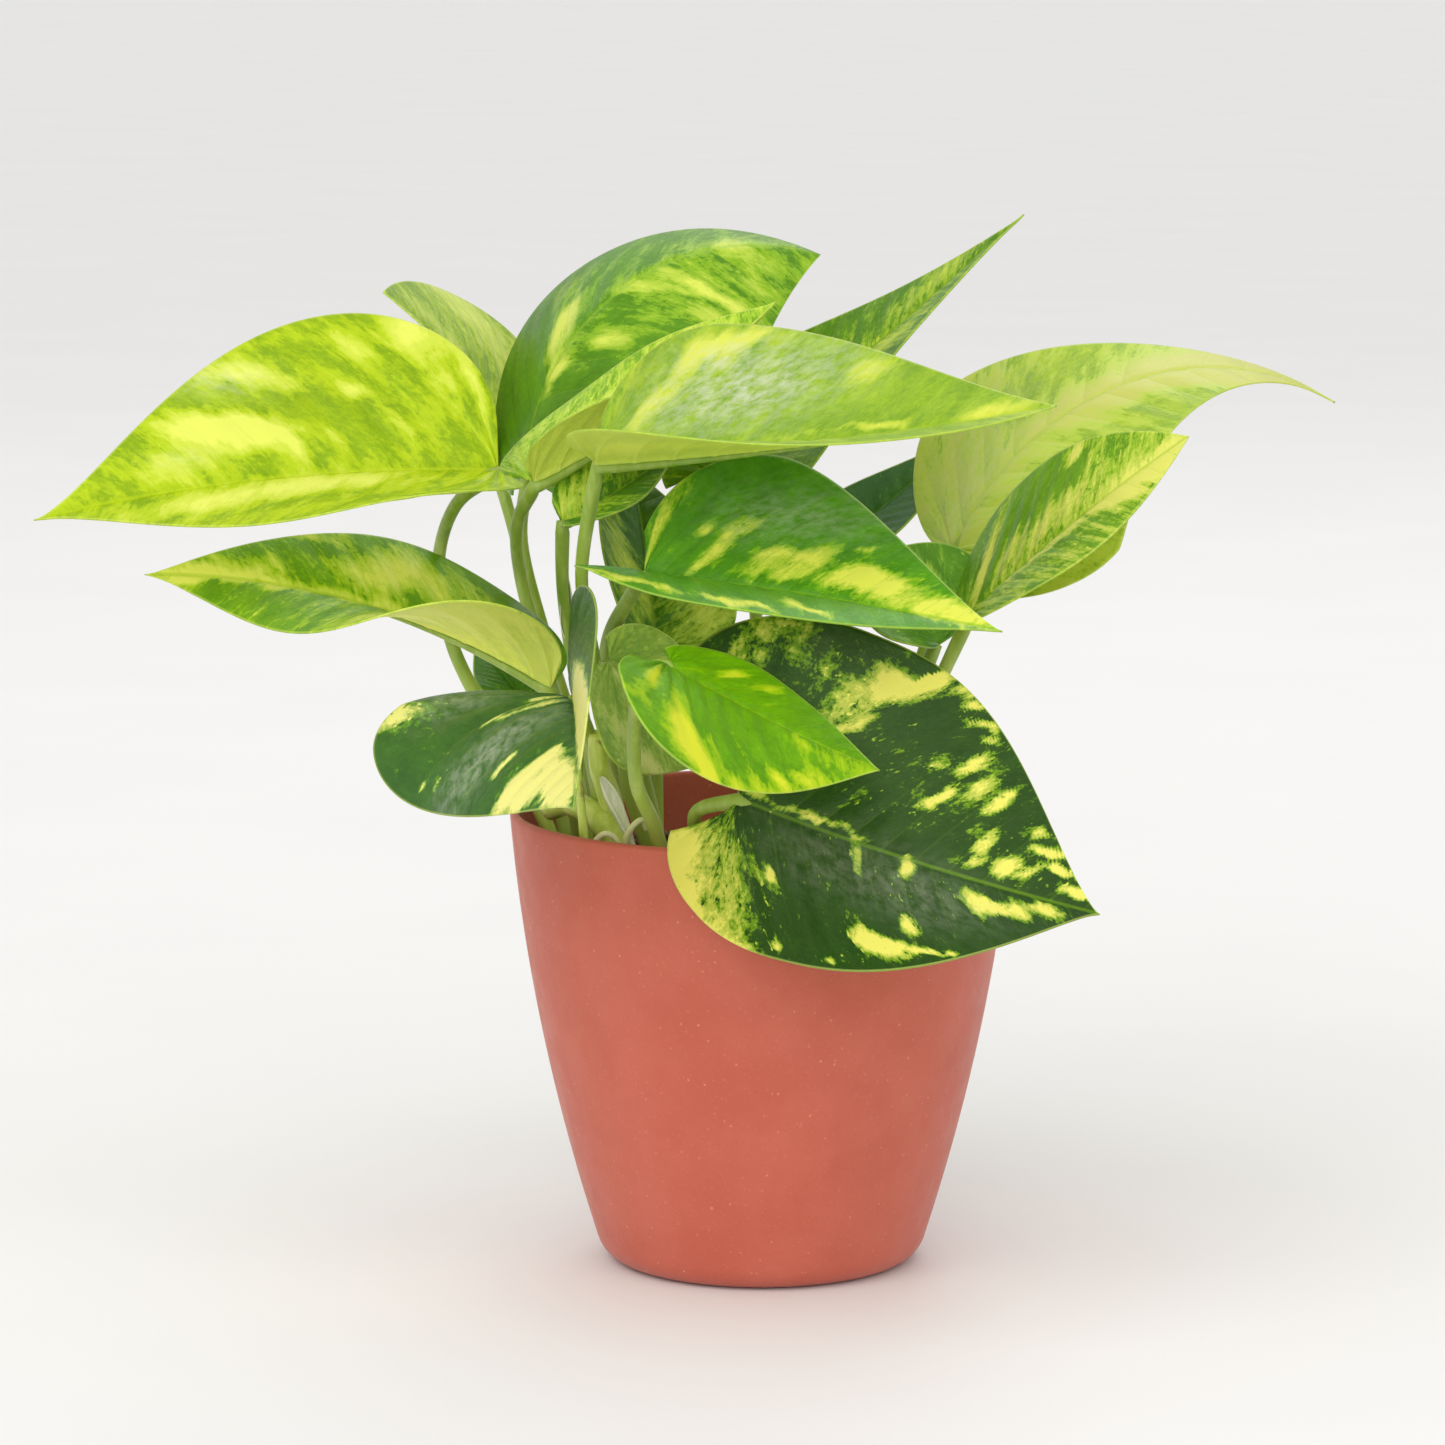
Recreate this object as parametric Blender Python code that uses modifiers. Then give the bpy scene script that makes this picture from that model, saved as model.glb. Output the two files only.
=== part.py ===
"""Potted golden pothos: a terracotta-coloured pot filled with soil, nineteen stems and nineteen
variegated leaves. The frame has its origin at the middle of the pot's flat base, +Z up, and +X to
the right as the plant is seen from the front (the front is -Y)."""
import bmesh
import bpy
from math import atan, cos, exp, pi, radians, sin, sqrt
from mathutils import Vector

MM = 0.001

# Pot: turned, softly bulged taper with a thin plain rim and a rounded foot.
POT_RIM_RADIUS = 60.0
POT_BASE_RADIUS = 37.5
POT_HEIGHT = 109.0
POT_BULGE = 3.4
POT_WALL = 2.2
POT_FLOOR = 3.0
POT_FOOT_ROUND = 8.0
POT_STEPS = 72

# Soil: fills the pot to below the rim, with a low mound where the stems leave it.
FIT_GAP = 0.3
SOIL_BELOW_RIM = 15.0
MOUND_HEIGHT = 6.0
MOUND_AT = (-30.0, 0.0)
MOUND_SPREAD = 20.0

# Blades and stems.
BLADE_THICKNESS = 0.9
BLADE_ACROSS = 6
BLADE_ALONG = 12
STEM_DEPTH_IN_SOIL = 7.0
STEM_FOOT_RADIUS = 2.1
STEM_TOP_RADIUS = 1.5
VINE_FOOT_RADIUS = 3.4
SEAT_SLACK = 0.1

# Every blade follows one formula. attach: where the stalk meets the blade, mm. heading: compass
# way of the midrib, degrees from +X. pitch: its rise at the base. roll: right side up. droop, sway
# and twist: change of pitch, heading and roll from base to tip. left, right: half widths. lobe:
# how far each half reaches back past the attach point, as a share of the length. fold: angle of
# each half at the base and at the tip. curl: extra bend from midrib to margin.
LEAVES = {
    "upper_left": dict(
        attach=(-62, -10, 191), heading=190, pitch=3, roll=37, length=110,
        left=39, right=42, lobe=(0.04, 0.0), root=0.28, widest=0.28, full=1.9, point=1.55,
        fold_left=(25, 9), fold_right=(25, 16), curl=(26, -8), droop=15, sway=9, twist=3),
    "mid_left": dict(
        attach=(-49.5, -19, 141), heading=171, pitch=31, roll=23, length=100,
        left=30, right=26, lobe=(0.0, 0.0), root=0.24, widest=0.32, full=2.0, point=1.45,
        fold_left=(72, -24), fold_right=(13, 13), curl=(7, -26), droop=31, sway=17, twist=16),
    "low_left": dict(
        attach=(-44, -40, 141.5), heading=274, pitch=0, roll=-14, length=73,
        left=29, right=47, lobe=(0.09, 0.12), root=0.3, widest=0.3, full=2.1, point=1.5,
        fold_left=(79, 46), fold_right=(18, -16), curl=(-10, -14), droop=23, sway=-5, twist=-14),
    "back_left": dict(
        attach=(-65.5, 80, 185), heading=198, pitch=76, roll=35, length=54,
        left=23, right=32, lobe=(0.08, 0.07), root=0.3, widest=0.31, full=2.0, point=1.0,
        fold_left=(15, 10), fold_right=(20, 5), curl=(0, -7), droop=46, sway=20, twist=-3),
    "top_centre": dict(
        attach=(-57.5, 41.5, 183.5), heading=8, pitch=89, roll=-31, length=107,
        left=38, right=50, lobe=(0.05, 0.03), root=0.3, widest=0.41, full=2.1, point=1.0,
        fold_left=(-18, -21), fold_right=(5, -17), curl=(-12, -4), droop=108, sway=13, twist=1),
    "centre_small": dict(
        attach=(-54, -4, 187.5), heading=16, pitch=24, roll=6, length=73,
        left=23, right=21, lobe=(0.07, 0.01), root=0.3, widest=0.32, full=2.1, point=1.2,
        fold_left=(34, 43), fold_right=(45, 23), curl=(-26, -8), droop=-21, sway=2, twist=-15),
    "centre_right": dict(
        attach=(-38.5, -32, 195), heading=-27, pitch=6, roll=-34, length=111,
        left=39, right=33, lobe=(0.02, 0.0), root=0.28, widest=0.24, full=1.9, point=1.1,
        fold_left=(12, -2), fold_right=(57, 18), curl=(10, -2), droop=-5, sway=20, twist=5),
    "centre_inner": dict(
        attach=(-47, -6, 178.5), heading=23, pitch=22, roll=-30, length=36,
        left=11, right=12, lobe=(0.0, 0.05), root=0.3, widest=0.3, full=1.7, point=1.35,
        fold_left=(26, 10), fold_right=(30, 10), curl=(0, 0), droop=-15, sway=3, twist=0),
    "back_right_pointed": dict(
        attach=(-9.5, 36, 185), heading=-5, pitch=40, roll=-31, length=97,
        left=29, right=33, lobe=(0.14, 0.07), root=0.3, widest=0.28, full=1.3, point=1.3,
        fold_left=(9, 4), fold_right=(6, 15), curl=(-2, 0), droop=-2, sway=-9, twist=6),
    "inner_dark": dict(
        attach=(-25, 14, 145), heading=100, pitch=62, roll=-18, length=58,
        left=22, right=21, lobe=(0.08, 0.08), root=0.3, widest=0.31, full=1.8, point=1.3,
        fold_left=(34, 9), fold_right=(15, 10), curl=(13, 0), droop=34, sway=0, twist=0),
    "centre": dict(
        attach=(-27.5, -34, 169.5), heading=-30, pitch=-1, roll=-28, length=91,
        left=36, right=29, lobe=(0.04, 0.12), root=0.3, widest=0.28, full=1.6, point=1.3,
        fold_left=(26, 0), fold_right=(42, 11), curl=(0, -12), droop=8, sway=7, twist=-1),
    "front_bright": dict(
        attach=(-21.5, -82, 155.5), heading=-23, pitch=-26, roll=-16, length=54,
        left=17, right=33, lobe=(0.07, 0.1), root=0.3, widest=0.32, full=1.8, point=1.2,
        fold_left=(-6, -3), fold_right=(18, -26), curl=(4, -2), droop=-4, sway=12, twist=-9),
    "right_dark_big": dict(
        attach=(-5.5, -65, 122), heading=-27, pitch=-16, roll=-64, length=87,
        left=46, right=32, lobe=(0.32, 0.16), root=0.41, widest=0.36, full=2.8, point=1.35,
        fold_left=(6, 1), fold_right=(-19, 26), curl=(3, 17), droop=-1, sway=28, twist=9),
    "right_pale_big": dict(
        attach=(46.5, 29.5, 167.5), heading=7, pitch=68, roll=-22, length=118,
        left=38, right=46, lobe=(0.01, 0.07), root=0.25, widest=0.26, full=1.25, point=1.65,
        fold_left=(-14, 0), fold_right=(-9, 2), curl=(26, -9), droop=99, sway=16, twist=5),
    "right_striped": dict(
        attach=(47.5, -14, 156.5), heading=-16, pitch=45, roll=-26, length=69,
        left=28, right=19, lobe=(0.03, 0.01), root=0.3, widest=0.32, full=1.8, point=1.0,
        fold_left=(0, 16), fold_right=(22, -7), curl=(-2, -10), droop=10, sway=2, twist=-14),
    "back_right_dark": dict(
        attach=(11.5, 62, 160.5), heading=19, pitch=30, roll=-21, length=52,
        left=15, right=19, lobe=(0.08, 0.08), root=0.3, widest=0.3, full=1.7, point=1.3,
        fold_left=(8, 7), fold_right=(21, 8), curl=(-9, 0), droop=-11, sway=5, twist=0),
    "right_small": dict(
        attach=(42, 2, 148), heading=168, pitch=56, roll=28, length=27,
        left=19, right=22, lobe=(0.0, 0.0), root=0.3, widest=0.32, full=1.9, point=1.0,
        fold_left=(31, -2), fold_right=(18, 20), curl=(-3, -1), droop=23, sway=1, twist=13),
    "inner_pale": dict(
        attach=(-36, -21, 147.5), heading=11, pitch=-42, roll=-57, length=38,
        left=15, right=25, lobe=(0.1, 0.1), root=0.28, widest=0.31, full=1.8, point=1.2,
        fold_left=(5, 10), fold_right=(28, -2), curl=(0, -6), droop=-10, sway=-3, twist=-8),
    "back_left_small": dict(
        attach=(-58, 30, 131), heading=140, pitch=45, roll=23, length=21,
        left=10, right=14, lobe=(0.08, 0.08), root=0.3, widest=0.3, full=1.7, point=1.4,
        fold_left=(20, 10), fold_right=(24, 9), curl=(0, 3), droop=15, sway=-3, twist=-1),
}

# Stems: the foot on the soil and the points each one bends through on its way up, mm. slack: how
# much further from the blade the stalk ends, or nearer where the blade is folded steeply there.
STEMS = {
    "upper_left": dict(foot=(-49, 3), via=[(-55, 6, 112), (-69, 15, 135), (-75, 18, 149), (-77, 14, 167),
                                           (-72, 0, 182)], slack=0.1),
    "mid_left": dict(foot=(-43, -9), via=[(-44, -10, 112), (-44, -11, 128)], slack=-0.4),
    "low_left": dict(foot=(-38, -19), via=[(-38, -22, 112), (-40, -28, 130)], slack=-0.45),
    "back_left": dict(foot=(-39, 24), via=[(-43, 31, 115), (-54, 53, 145), (-62, 74, 170)]),
    "top_centre": dict(foot=(-38, 17), via=[(-42, 21, 115), (-52, 32, 145), (-58, 39, 168)], slack=0.1),
    "centre_small": dict(foot=(-41, 9), via=[(-45, 9, 118), (-52, 11, 144), (-57, 12, 161), (-58, 4, 176)]),
    "centre_right": dict(foot=(-32, -15), via=[(-35, -15, 118), (-39, -15, 145), (-42, -23, 168)], slack=-0.5),
    "centre_inner": dict(foot=(-37, -1), via=[(-40, 2, 118), (-45, 4, 145), (-47, 0, 162)], slack=-0.4),
    "back_right_pointed": dict(foot=(-5, 16), via=[(-3, 22, 118), (-1, 31, 150), (-5, 34, 172)]),
    "inner_dark": dict(foot=(-25, 9), via=[(-25, 9, 112), (-25, 10, 130)]),
    "centre": dict(foot=(-26, -3), vine=True, slack=-0.4,
                   via=[(-31, -3, 115), (-36, -3, 135), (-36, -6, 150), (-31, -20, 162)]),
    "front_bright": dict(foot=(-21, -38), slack=0.35,
                         via=[(-25, -43, 112), (-29, -52, 124), (-29, -66, 142), (-26, -77, 153)]),
    "right_dark_big": dict(foot=(-14, -36), via=[(-15, -42, 108), (-15, -52, 117)], slack=0.25),
    "right_pale_big": dict(foot=(24, 10), via=[(28, 13, 115), (38, 21, 140), (44, 27, 157)]),
    "right_striped": dict(foot=(27, -6), via=[(31, -8, 115), (40, -11, 137)]),
    "back_right_dark": dict(foot=(2, 24), via=[(3, 32, 115), (7, 48, 138)]),
    "right_small": dict(foot=(19, 0), via=[(23, 1, 112), (34, 2, 130)], slack=-0.45),
    "inner_pale": dict(foot=(-24, -15), via=[(-26, -15, 112), (-31, -16, 130)]),
    "back_left_small": dict(foot=(-47, 14), via=[(-50, 19, 112)]),
}


def clear_file():
    for item in list(bpy.data.objects):
        bpy.data.objects.remove(item, do_unlink=True)
    for group in list(bpy.data.collections):
        bpy.data.collections.remove(group)


def collection(name):
    group = bpy.data.collections.new(name)
    bpy.context.scene.collection.children.link(group)
    return group


def material(name, colour, roughness):
    mat = bpy.data.materials.new(name)
    mat.use_nodes = True
    shader = mat.node_tree.nodes["Principled BSDF"]
    shader.inputs["Base Color"].default_value = (*colour, 1.0)
    shader.inputs["Roughness"].default_value = roughness
    mat.diffuse_color = (*colour, 1.0)
    return mat


def pot_radius(z):
    """Outer radius of the pot's wall at height z, before the foot is rounded."""
    share = z / POT_HEIGHT
    straight = POT_BASE_RADIUS + (POT_RIM_RADIUS - POT_BASE_RADIUS) * share
    return straight + 4 * POT_BULGE * share * (1 - share)


def foot_arc(floor, inset, radius, steps):
    """The rounded corner between a flat bottom at height floor and a wall that lies inset inside
    the pot's outer one. It runs from the bottom up to the leaning wall and meets both smoothly."""
    share = (floor + radius) / POT_HEIGHT
    lean = atan((POT_RIM_RADIUS - POT_BASE_RADIUS + 4 * POT_BULGE * (1 - 2 * share)) / POT_HEIGHT)
    join = floor + radius * (1 - sin(lean))
    centre = pot_radius(join) - inset - radius * cos(lean)
    points = []
    for step in range(steps + 1):
        angle = (pi / 2 - lean) * step / steps - pi / 2
        points.append((centre + radius * cos(angle), floor + radius + radius * sin(angle)))
    return points


def pot_profile():
    """Half section from the middle of the inner floor, up inside, over the rim and down outside."""
    line = [(0.0, POT_FLOOR)]
    line += foot_arc(POT_FLOOR, POT_WALL, POT_FOOT_ROUND - POT_WALL, 5)
    inner_start = line[-1][1]
    rim_round = POT_WALL / 2
    top = POT_HEIGHT - rim_round
    for step in range(1, 9):
        z = inner_start + (top - inner_start) * step / 8
        line.append((pot_radius(z) - POT_WALL, z))
    for step in range(1, 6):
        angle = pi * step / 6
        line.append((pot_radius(top) - rim_round - rim_round * cos(angle), top + rim_round * sin(angle)))
    foot = foot_arc(0.0, 0.0, POT_FOOT_ROUND, 6)
    for step in range(10):
        z = top - (top - foot[-1][1]) * step / 10
        line.append((pot_radius(z), z))
    line += reversed(foot)
    line.append((0.0, 0.0))
    return line


def turned(name, profile, steps, group, mat):
    """A solid turned round Z from an open half section whose ends lie on the axis."""
    mesh = bpy.data.meshes.new(name)
    points = [(x * MM, 0.0, z * MM) for x, z in profile]
    mesh.from_pydata(points, [(i, i + 1) for i in range(len(points) - 1)], [])
    obj = bpy.data.objects.new(name, mesh)
    group.objects.link(obj)
    screw = obj.modifiers.new("turn", "SCREW")
    screw.axis = "Z"
    screw.steps = steps
    screw.render_steps = steps
    screw.use_merge_vertices = True
    screw.merge_threshold = 0.00001
    screw.use_normal_calculate = True
    screw.use_smooth_shade = True
    obj.data.materials.append(mat)
    return obj


def soil_height(x, y):
    """Height of the soil's surface: level, with a mound by the stems and a slight unevenness."""
    reach = (x - MOUND_AT[0]) ** 2 + (y - MOUND_AT[1]) ** 2
    mound = MOUND_HEIGHT * exp(-reach / (2 * MOUND_SPREAD ** 2))
    uneven = 0.5 * sin(0.31 * x + 0.7) * cos(0.27 * y + 0.4)
    return POT_HEIGHT - SOIL_BELOW_RIM + mound + uneven


def make_soil(group, mat):
    segments = 48
    rings = 6
    floor = POT_FLOOR + FIT_GAP + 0.2
    bm = bmesh.new()
    centre = bm.verts.new((0.0, 0.0, soil_height(0.0, 0.0) * MM))
    loops = []

    def loop(radius, height):
        ring = []
        for step in range(segments):
            angle = 2 * pi * step / segments
            x = radius * cos(angle)
            y = radius * sin(angle)
            z = height if height is not None else soil_height(x, y)
            ring.append(bm.verts.new((x * MM, y * MM, z * MM)))
        loops.append(ring)

    wall = POT_WALL + FIT_GAP
    edge = pot_radius(POT_HEIGHT - SOIL_BELOW_RIM) - wall - 0.3
    for ring in range(1, rings + 1):
        loop(edge * ring / rings, None)
    side_top = POT_HEIGHT - SOIL_BELOW_RIM - 4.0
    foot = foot_arc(floor, wall + 0.2, POT_FOOT_ROUND - POT_WALL, 4)
    for step in range(4):
        z = side_top - (side_top - foot[-1][1]) * step / 4
        loop(pot_radius(z) - wall - 0.2, z)
    for radius, height in reversed(foot):
        loop(radius, height)
    bottom = bm.verts.new((0.0, 0.0, floor * MM))
    for step in range(segments):
        after = (step + 1) % segments
        bm.faces.new((centre, loops[0][step], loops[0][after]))
        for inner, outer in zip(loops, loops[1:]):
            bm.faces.new((inner[step], outer[step], outer[after], inner[after]))
        bm.faces.new((bottom, loops[-1][after], loops[-1][step]))
    bmesh.ops.triangulate(bm, faces=bm.faces[:])
    bmesh.ops.recalc_face_normals(bm, faces=bm.faces[:])
    mesh = bpy.data.meshes.new("soil")
    bm.to_mesh(mesh)
    bm.free()
    mesh.shade_smooth()
    obj = bpy.data.objects.new("soil", mesh)
    obj.data.materials.append(mat)
    group.objects.link(obj)
    return obj


def half_width(share, leaf):
    """Width of a blade's half, 0 to 1, from its hind edge (share 0) to its tip (share 1)."""
    widest = leaf["widest"]
    if share < widest:
        return leaf["root"] + (1 - leaf["root"]) * sqrt(max(0.0, 1 - (1 - share / widest) ** 2))
    rest = min(1.0, (share - widest) / (1 - widest))
    return (1 - rest ** leaf["full"]) ** leaf["point"]


def frame_at(leaf, along):
    """Directions of the midrib at a share of its length: forward, to the right, and up."""
    share = max(-0.25, min(1.0, along))
    heading = radians(leaf["heading"] + leaf["sway"] * share)
    pitch = radians(leaf["pitch"] - leaf["droop"] * share)
    roll = radians(leaf["roll"] + leaf["twist"] * share)
    forward = Vector((cos(pitch) * cos(heading), cos(pitch) * sin(heading), sin(pitch)))
    level = Vector((sin(heading), -cos(heading), 0.0))
    upward = level.cross(forward)
    side = level * cos(roll) + upward * sin(roll)
    up = upward * cos(roll) - level * sin(roll)
    return forward, side, up


def midrib_points(leaf, count=60):
    """Points along the midrib, found by adding up short steps of its direction."""
    points = [Vector(leaf["attach"])]
    step = leaf["length"] / count
    for index in range(count):
        before = frame_at(leaf, index / count)[0]
        after = frame_at(leaf, (index + 1) / count)[0]
        points.append(points[-1] + (before + after) * (step / 2))
    return points


def blade_point(leaf, rib, across, along):
    """Place of one point of a blade: across runs -1 to 1, along 0 to 1."""
    length = leaf["length"]
    side_index = 0 if across < 0 else 1
    reach = leaf["left"] if across < 0 else leaf["right"]
    lobe = leaf["lobe"][side_index]
    rib_y = length * along ** 1.75
    edge_y = length * (-lobe + (1 + lobe) * along ** 1.4)
    y = rib_y + (edge_y - rib_y) * abs(across) ** 1.5
    x = reach * half_width(along ** 1.4, leaf) * abs(across)
    share = y / length
    forward, side, up = frame_at(leaf, share)
    if y <= 0:
        base = rib[0] + forward * y
    else:
        place = min(share, 1.0) * (len(rib) - 1)
        low = min(int(place), len(rib) - 2)
        base = rib[low].lerp(rib[low + 1], place - low)
    fold = leaf["fold_left"] if across < 0 else leaf["fold_right"]
    held = max(0.0, min(1.0, share))
    angle = radians(fold[0] + (fold[1] - fold[0]) * held)
    turn = radians(leaf["curl"][side_index]) * x / reach / 2
    chord = x * (sin(turn) / turn if abs(turn) > 0.0001 else 1.0)
    sign = -1.0 if across < 0 else 1.0
    return base + side * (sign * chord * cos(angle + turn)) + up * (chord * sin(angle + turn))


def make_blade(name, leaf, group, mat):
    rib = midrib_points(leaf)
    bm = bmesh.new()
    bmesh.ops.create_grid(bm, x_segments=BLADE_ACROSS, y_segments=BLADE_ALONG, size=1.0)
    for vert in bm.verts:
        place = blade_point(leaf, rib, vert.co.x, (vert.co.y + 1) / 2)
        vert.co = place * MM
    bmesh.ops.remove_doubles(bm, verts=bm.verts[:], dist=0.00002)
    bmesh.ops.triangulate(bm, faces=bm.faces[:], quad_method="SHORT_EDGE")
    mesh = bpy.data.meshes.new(name)
    bm.to_mesh(mesh)
    bm.free()
    mesh.shade_smooth()
    obj = bpy.data.objects.new(name, mesh)
    thick = obj.modifiers.new("thickness", "SOLIDIFY")
    thick.thickness = BLADE_THICKNESS * MM
    thick.offset = 0.0
    thick.use_even_offset = False
    thick.use_quality_normals = True
    obj.data.materials.append(mat)
    group.objects.link(obj)
    return obj


def smooth_path(points, per_span):
    """A rounded line through the points (each span is a cubic eased by its neighbours)."""
    first = points[0] * 2 - points[1]
    last = points[-1] * 2 - points[-2]
    chain = [first] + points + [last]
    line = []
    for index in range(1, len(chain) - 2):
        a, b, c, d = chain[index - 1:index + 3]
        for step in range(per_span):
            t = step / per_span
            line.append(0.5 * ((2 * b) + (c - a) * t + (2 * a - 5 * b + 4 * c - d) * t ** 2
                               + (3 * b - a - 3 * c + d) * t ** 3))
    line.append(points[-1].copy())
    return line


def stem_points(name):
    """The stem's line: straight up out of its hole, through its bends, to just under the blade."""
    stem = STEMS[name]
    leaf = LEAVES[name]
    foot_x, foot_y = stem["foot"]
    ground = soil_height(foot_x, foot_y)
    up = frame_at(leaf, 0.0)[2]
    attach = Vector(leaf["attach"])
    slant = abs((attach - Vector(stem["via"][-1])).normalized().dot(up))
    slack = SEAT_SLACK + stem.get("slack", 0.0)
    under = BLADE_THICKNESS / 2 + FIT_GAP + slack + STEM_TOP_RADIUS * sqrt(1 - slant ** 2)
    seat = attach - up * under
    straight = [Vector((foot_x, foot_y, ground - STEM_DEPTH_IN_SOIL)),
                Vector((foot_x, foot_y, ground + 1.0))]
    bends = [Vector(point) for point in stem["via"]]
    upper = smooth_path([straight[1]] + bends + [seat], 2)
    return [straight[0]] + upper


def make_stem(name, group, mat):
    points = stem_points(name)
    foot = VINE_FOOT_RADIUS if STEMS[name].get("vine") else STEM_FOOT_RADIUS
    curve = bpy.data.curves.new("stem_" + name, "CURVE")
    curve.dimensions = "3D"
    curve.bevel_depth = MM
    curve.bevel_resolution = 2
    curve.use_fill_caps = True
    curve.twist_mode = "MINIMUM"
    spline = curve.splines.new("POLY")
    spline.points.add(len(points) - 1)
    for index, place in enumerate(points):
        share = index / (len(points) - 1)
        radius = foot + (STEM_TOP_RADIUS - foot) * share ** 0.8
        if index <= 1:
            radius = foot
        spline.points[index].co = (place.x * MM, place.y * MM, place.z * MM, 1.0)
        spline.points[index].radius = radius
    holder = bpy.data.objects.new("stem_curve", curve)
    group.objects.link(holder)
    bpy.context.view_layer.update()
    mesh = bpy.data.meshes.new_from_object(holder.evaluated_get(bpy.context.evaluated_depsgraph_get()))
    bpy.data.objects.remove(holder, do_unlink=True)
    bm = bmesh.new()
    bm.from_mesh(mesh)
    bmesh.ops.remove_doubles(bm, verts=bm.verts[:], dist=0.00002)
    bmesh.ops.recalc_face_normals(bm, faces=bm.faces[:])
    bm.to_mesh(mesh)
    bm.free()
    mesh.shade_smooth()
    mesh.materials.clear()
    obj = bpy.data.objects.new("stem_" + name, mesh)
    obj.data.materials.append(mat)
    group.objects.link(obj)
    return obj


def make_hole(name, soil, group):
    """A plain round hole in the soil for one stem."""
    foot_x, foot_y = STEMS[name]["foot"]
    radius = (VINE_FOOT_RADIUS if STEMS[name].get("vine") else STEM_FOOT_RADIUS) + FIT_GAP + 0.1
    low = soil_height(foot_x, foot_y) - STEM_DEPTH_IN_SOIL - FIT_GAP
    high = POT_HEIGHT + 5.0
    bm = bmesh.new()
    bmesh.ops.create_cone(bm, cap_ends=True, segments=16, radius1=radius * MM, radius2=radius * MM,
                          depth=(high - low) * MM)
    bmesh.ops.translate(bm, verts=bm.verts[:], vec=(foot_x * MM, foot_y * MM, (low + high) / 2 * MM))
    mesh = bpy.data.meshes.new("hole_" + name)
    bm.to_mesh(mesh)
    bm.free()
    cutter = bpy.data.objects.new("hole_" + name, mesh)
    cutter.hide_render = True
    cutter.display_type = "WIRE"
    group.objects.link(cutter)
    cut = soil.modifiers.new("hole_" + name, "BOOLEAN")
    cut.operation = "DIFFERENCE"
    cut.solver = "EXACT"
    cut.object = cutter


clear_file()
parts = collection("potted_golden_pothos")
cutters = collection("cutters")

pot_material = material("matte terracotta composite", (0.571, 0.138, 0.089), 0.55)
soil_material = material("dark potting soil", (0.035, 0.022, 0.014), 0.95)
stem_material = material("fresh green stem", (0.33, 0.50, 0.10), 0.45)
bright_leaf = material("bright leaf", (0.42, 0.62, 0.04), 0.40)
dark_leaf = material("dark leaf", (0.07, 0.24, 0.03), 0.38)

DARK_LEAVES = ("low_left", "inner_dark", "right_dark_big", "right_striped", "back_right_dark",
               "right_small", "back_left_small", "centre_inner")

turned("pot", pot_profile(), POT_STEPS, parts, pot_material)
soil = make_soil(parts, soil_material)
for stem_name in STEMS:
    make_hole(stem_name, soil, cutters)
    make_stem(stem_name, parts, stem_material)
for leaf_name, leaf in LEAVES.items():
    leaf_material = dark_leaf if leaf_name in DARK_LEAVES else bright_leaf
    make_blade("leaf_" + leaf_name, leaf, parts, leaf_material)
print("parts:", len(parts.objects))
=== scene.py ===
# %% [markdown]
# # A potted golden pothos
# A young climbing plant in a plain terracotta-coloured pot: nineteen waxy, heart-shaped leaves on
# bent stalks, splashed with yellow and cream. The imported solids give the places and the sizes. This
# script gives the looks: fine blades with veins, round stalks, soil, roots, finishes and light.
# Everything is in metres, +Z is up, and the front of the plant faces -Y.

# %% Load the frame and keep its parts
from math import atan, atan2, cos, exp, hypot, pi, radians, sin

import bmesh
import bpy
from mathutils import Matrix, Vector, noise


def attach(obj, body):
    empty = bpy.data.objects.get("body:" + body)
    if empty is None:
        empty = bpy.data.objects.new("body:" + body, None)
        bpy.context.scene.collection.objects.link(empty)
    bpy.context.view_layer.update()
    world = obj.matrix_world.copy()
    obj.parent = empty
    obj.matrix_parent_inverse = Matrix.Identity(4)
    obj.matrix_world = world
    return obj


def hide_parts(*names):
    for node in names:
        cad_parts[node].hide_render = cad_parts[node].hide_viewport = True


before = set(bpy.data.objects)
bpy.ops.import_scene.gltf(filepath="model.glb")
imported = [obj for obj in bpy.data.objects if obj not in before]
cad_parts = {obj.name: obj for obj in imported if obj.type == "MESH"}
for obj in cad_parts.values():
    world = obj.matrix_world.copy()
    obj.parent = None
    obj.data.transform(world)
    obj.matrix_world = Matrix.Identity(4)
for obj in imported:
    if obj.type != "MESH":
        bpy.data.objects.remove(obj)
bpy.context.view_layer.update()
MM = 0.001

# %% [markdown]
# ## Small tools for materials
# Colours are easiest to judge on a screen, from 0 to 255, but shaders work with linear light, so one
# function converts them. The others place a node and return the socket that matters, so that a
# material reads as a short recipe. Each effect that several materials share is a node group.

# %% Colour and node helpers


def screen(red, green, blue):
    """A colour as seen on a screen, 0 to 255, as the linear values that a shader takes."""
    def linear(value):
        share = value / 255
        return share / 12.92 if share < 0.04 else ((share + 0.055) / 1.055) ** 2.4
    return (linear(red), linear(green), linear(blue), 1.0)


def put(socket, value):
    """Links a socket to another, or sets its own value."""
    if isinstance(value, bpy.types.NodeSocket):
        socket.id_data.links.new(value, socket)
    else:
        socket.default_value = value


def calc(tree, operation, first, second=0.0, third=0.0, clamp=False):
    node = tree.nodes.new("ShaderNodeMath")
    node.operation = operation
    node.use_clamp = clamp
    for socket, value in zip(node.inputs, (first, second, third)):
        put(socket, value)
    return node.outputs[0]


def step_up(tree, value, low, high, to_low=0.0, to_high=1.0):
    """A soft step: to_low where value is under low, to_high where it is over high."""
    node = tree.nodes.new("ShaderNodeMapRange")
    node.interpolation_type = "SMOOTHSTEP"
    for name, number in (("Value", value), ("From Min", low), ("From Max", high),
                         ("To Min", to_low), ("To Max", to_high)):
        put(node.inputs[name], number)
    return node.outputs[0]


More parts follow.
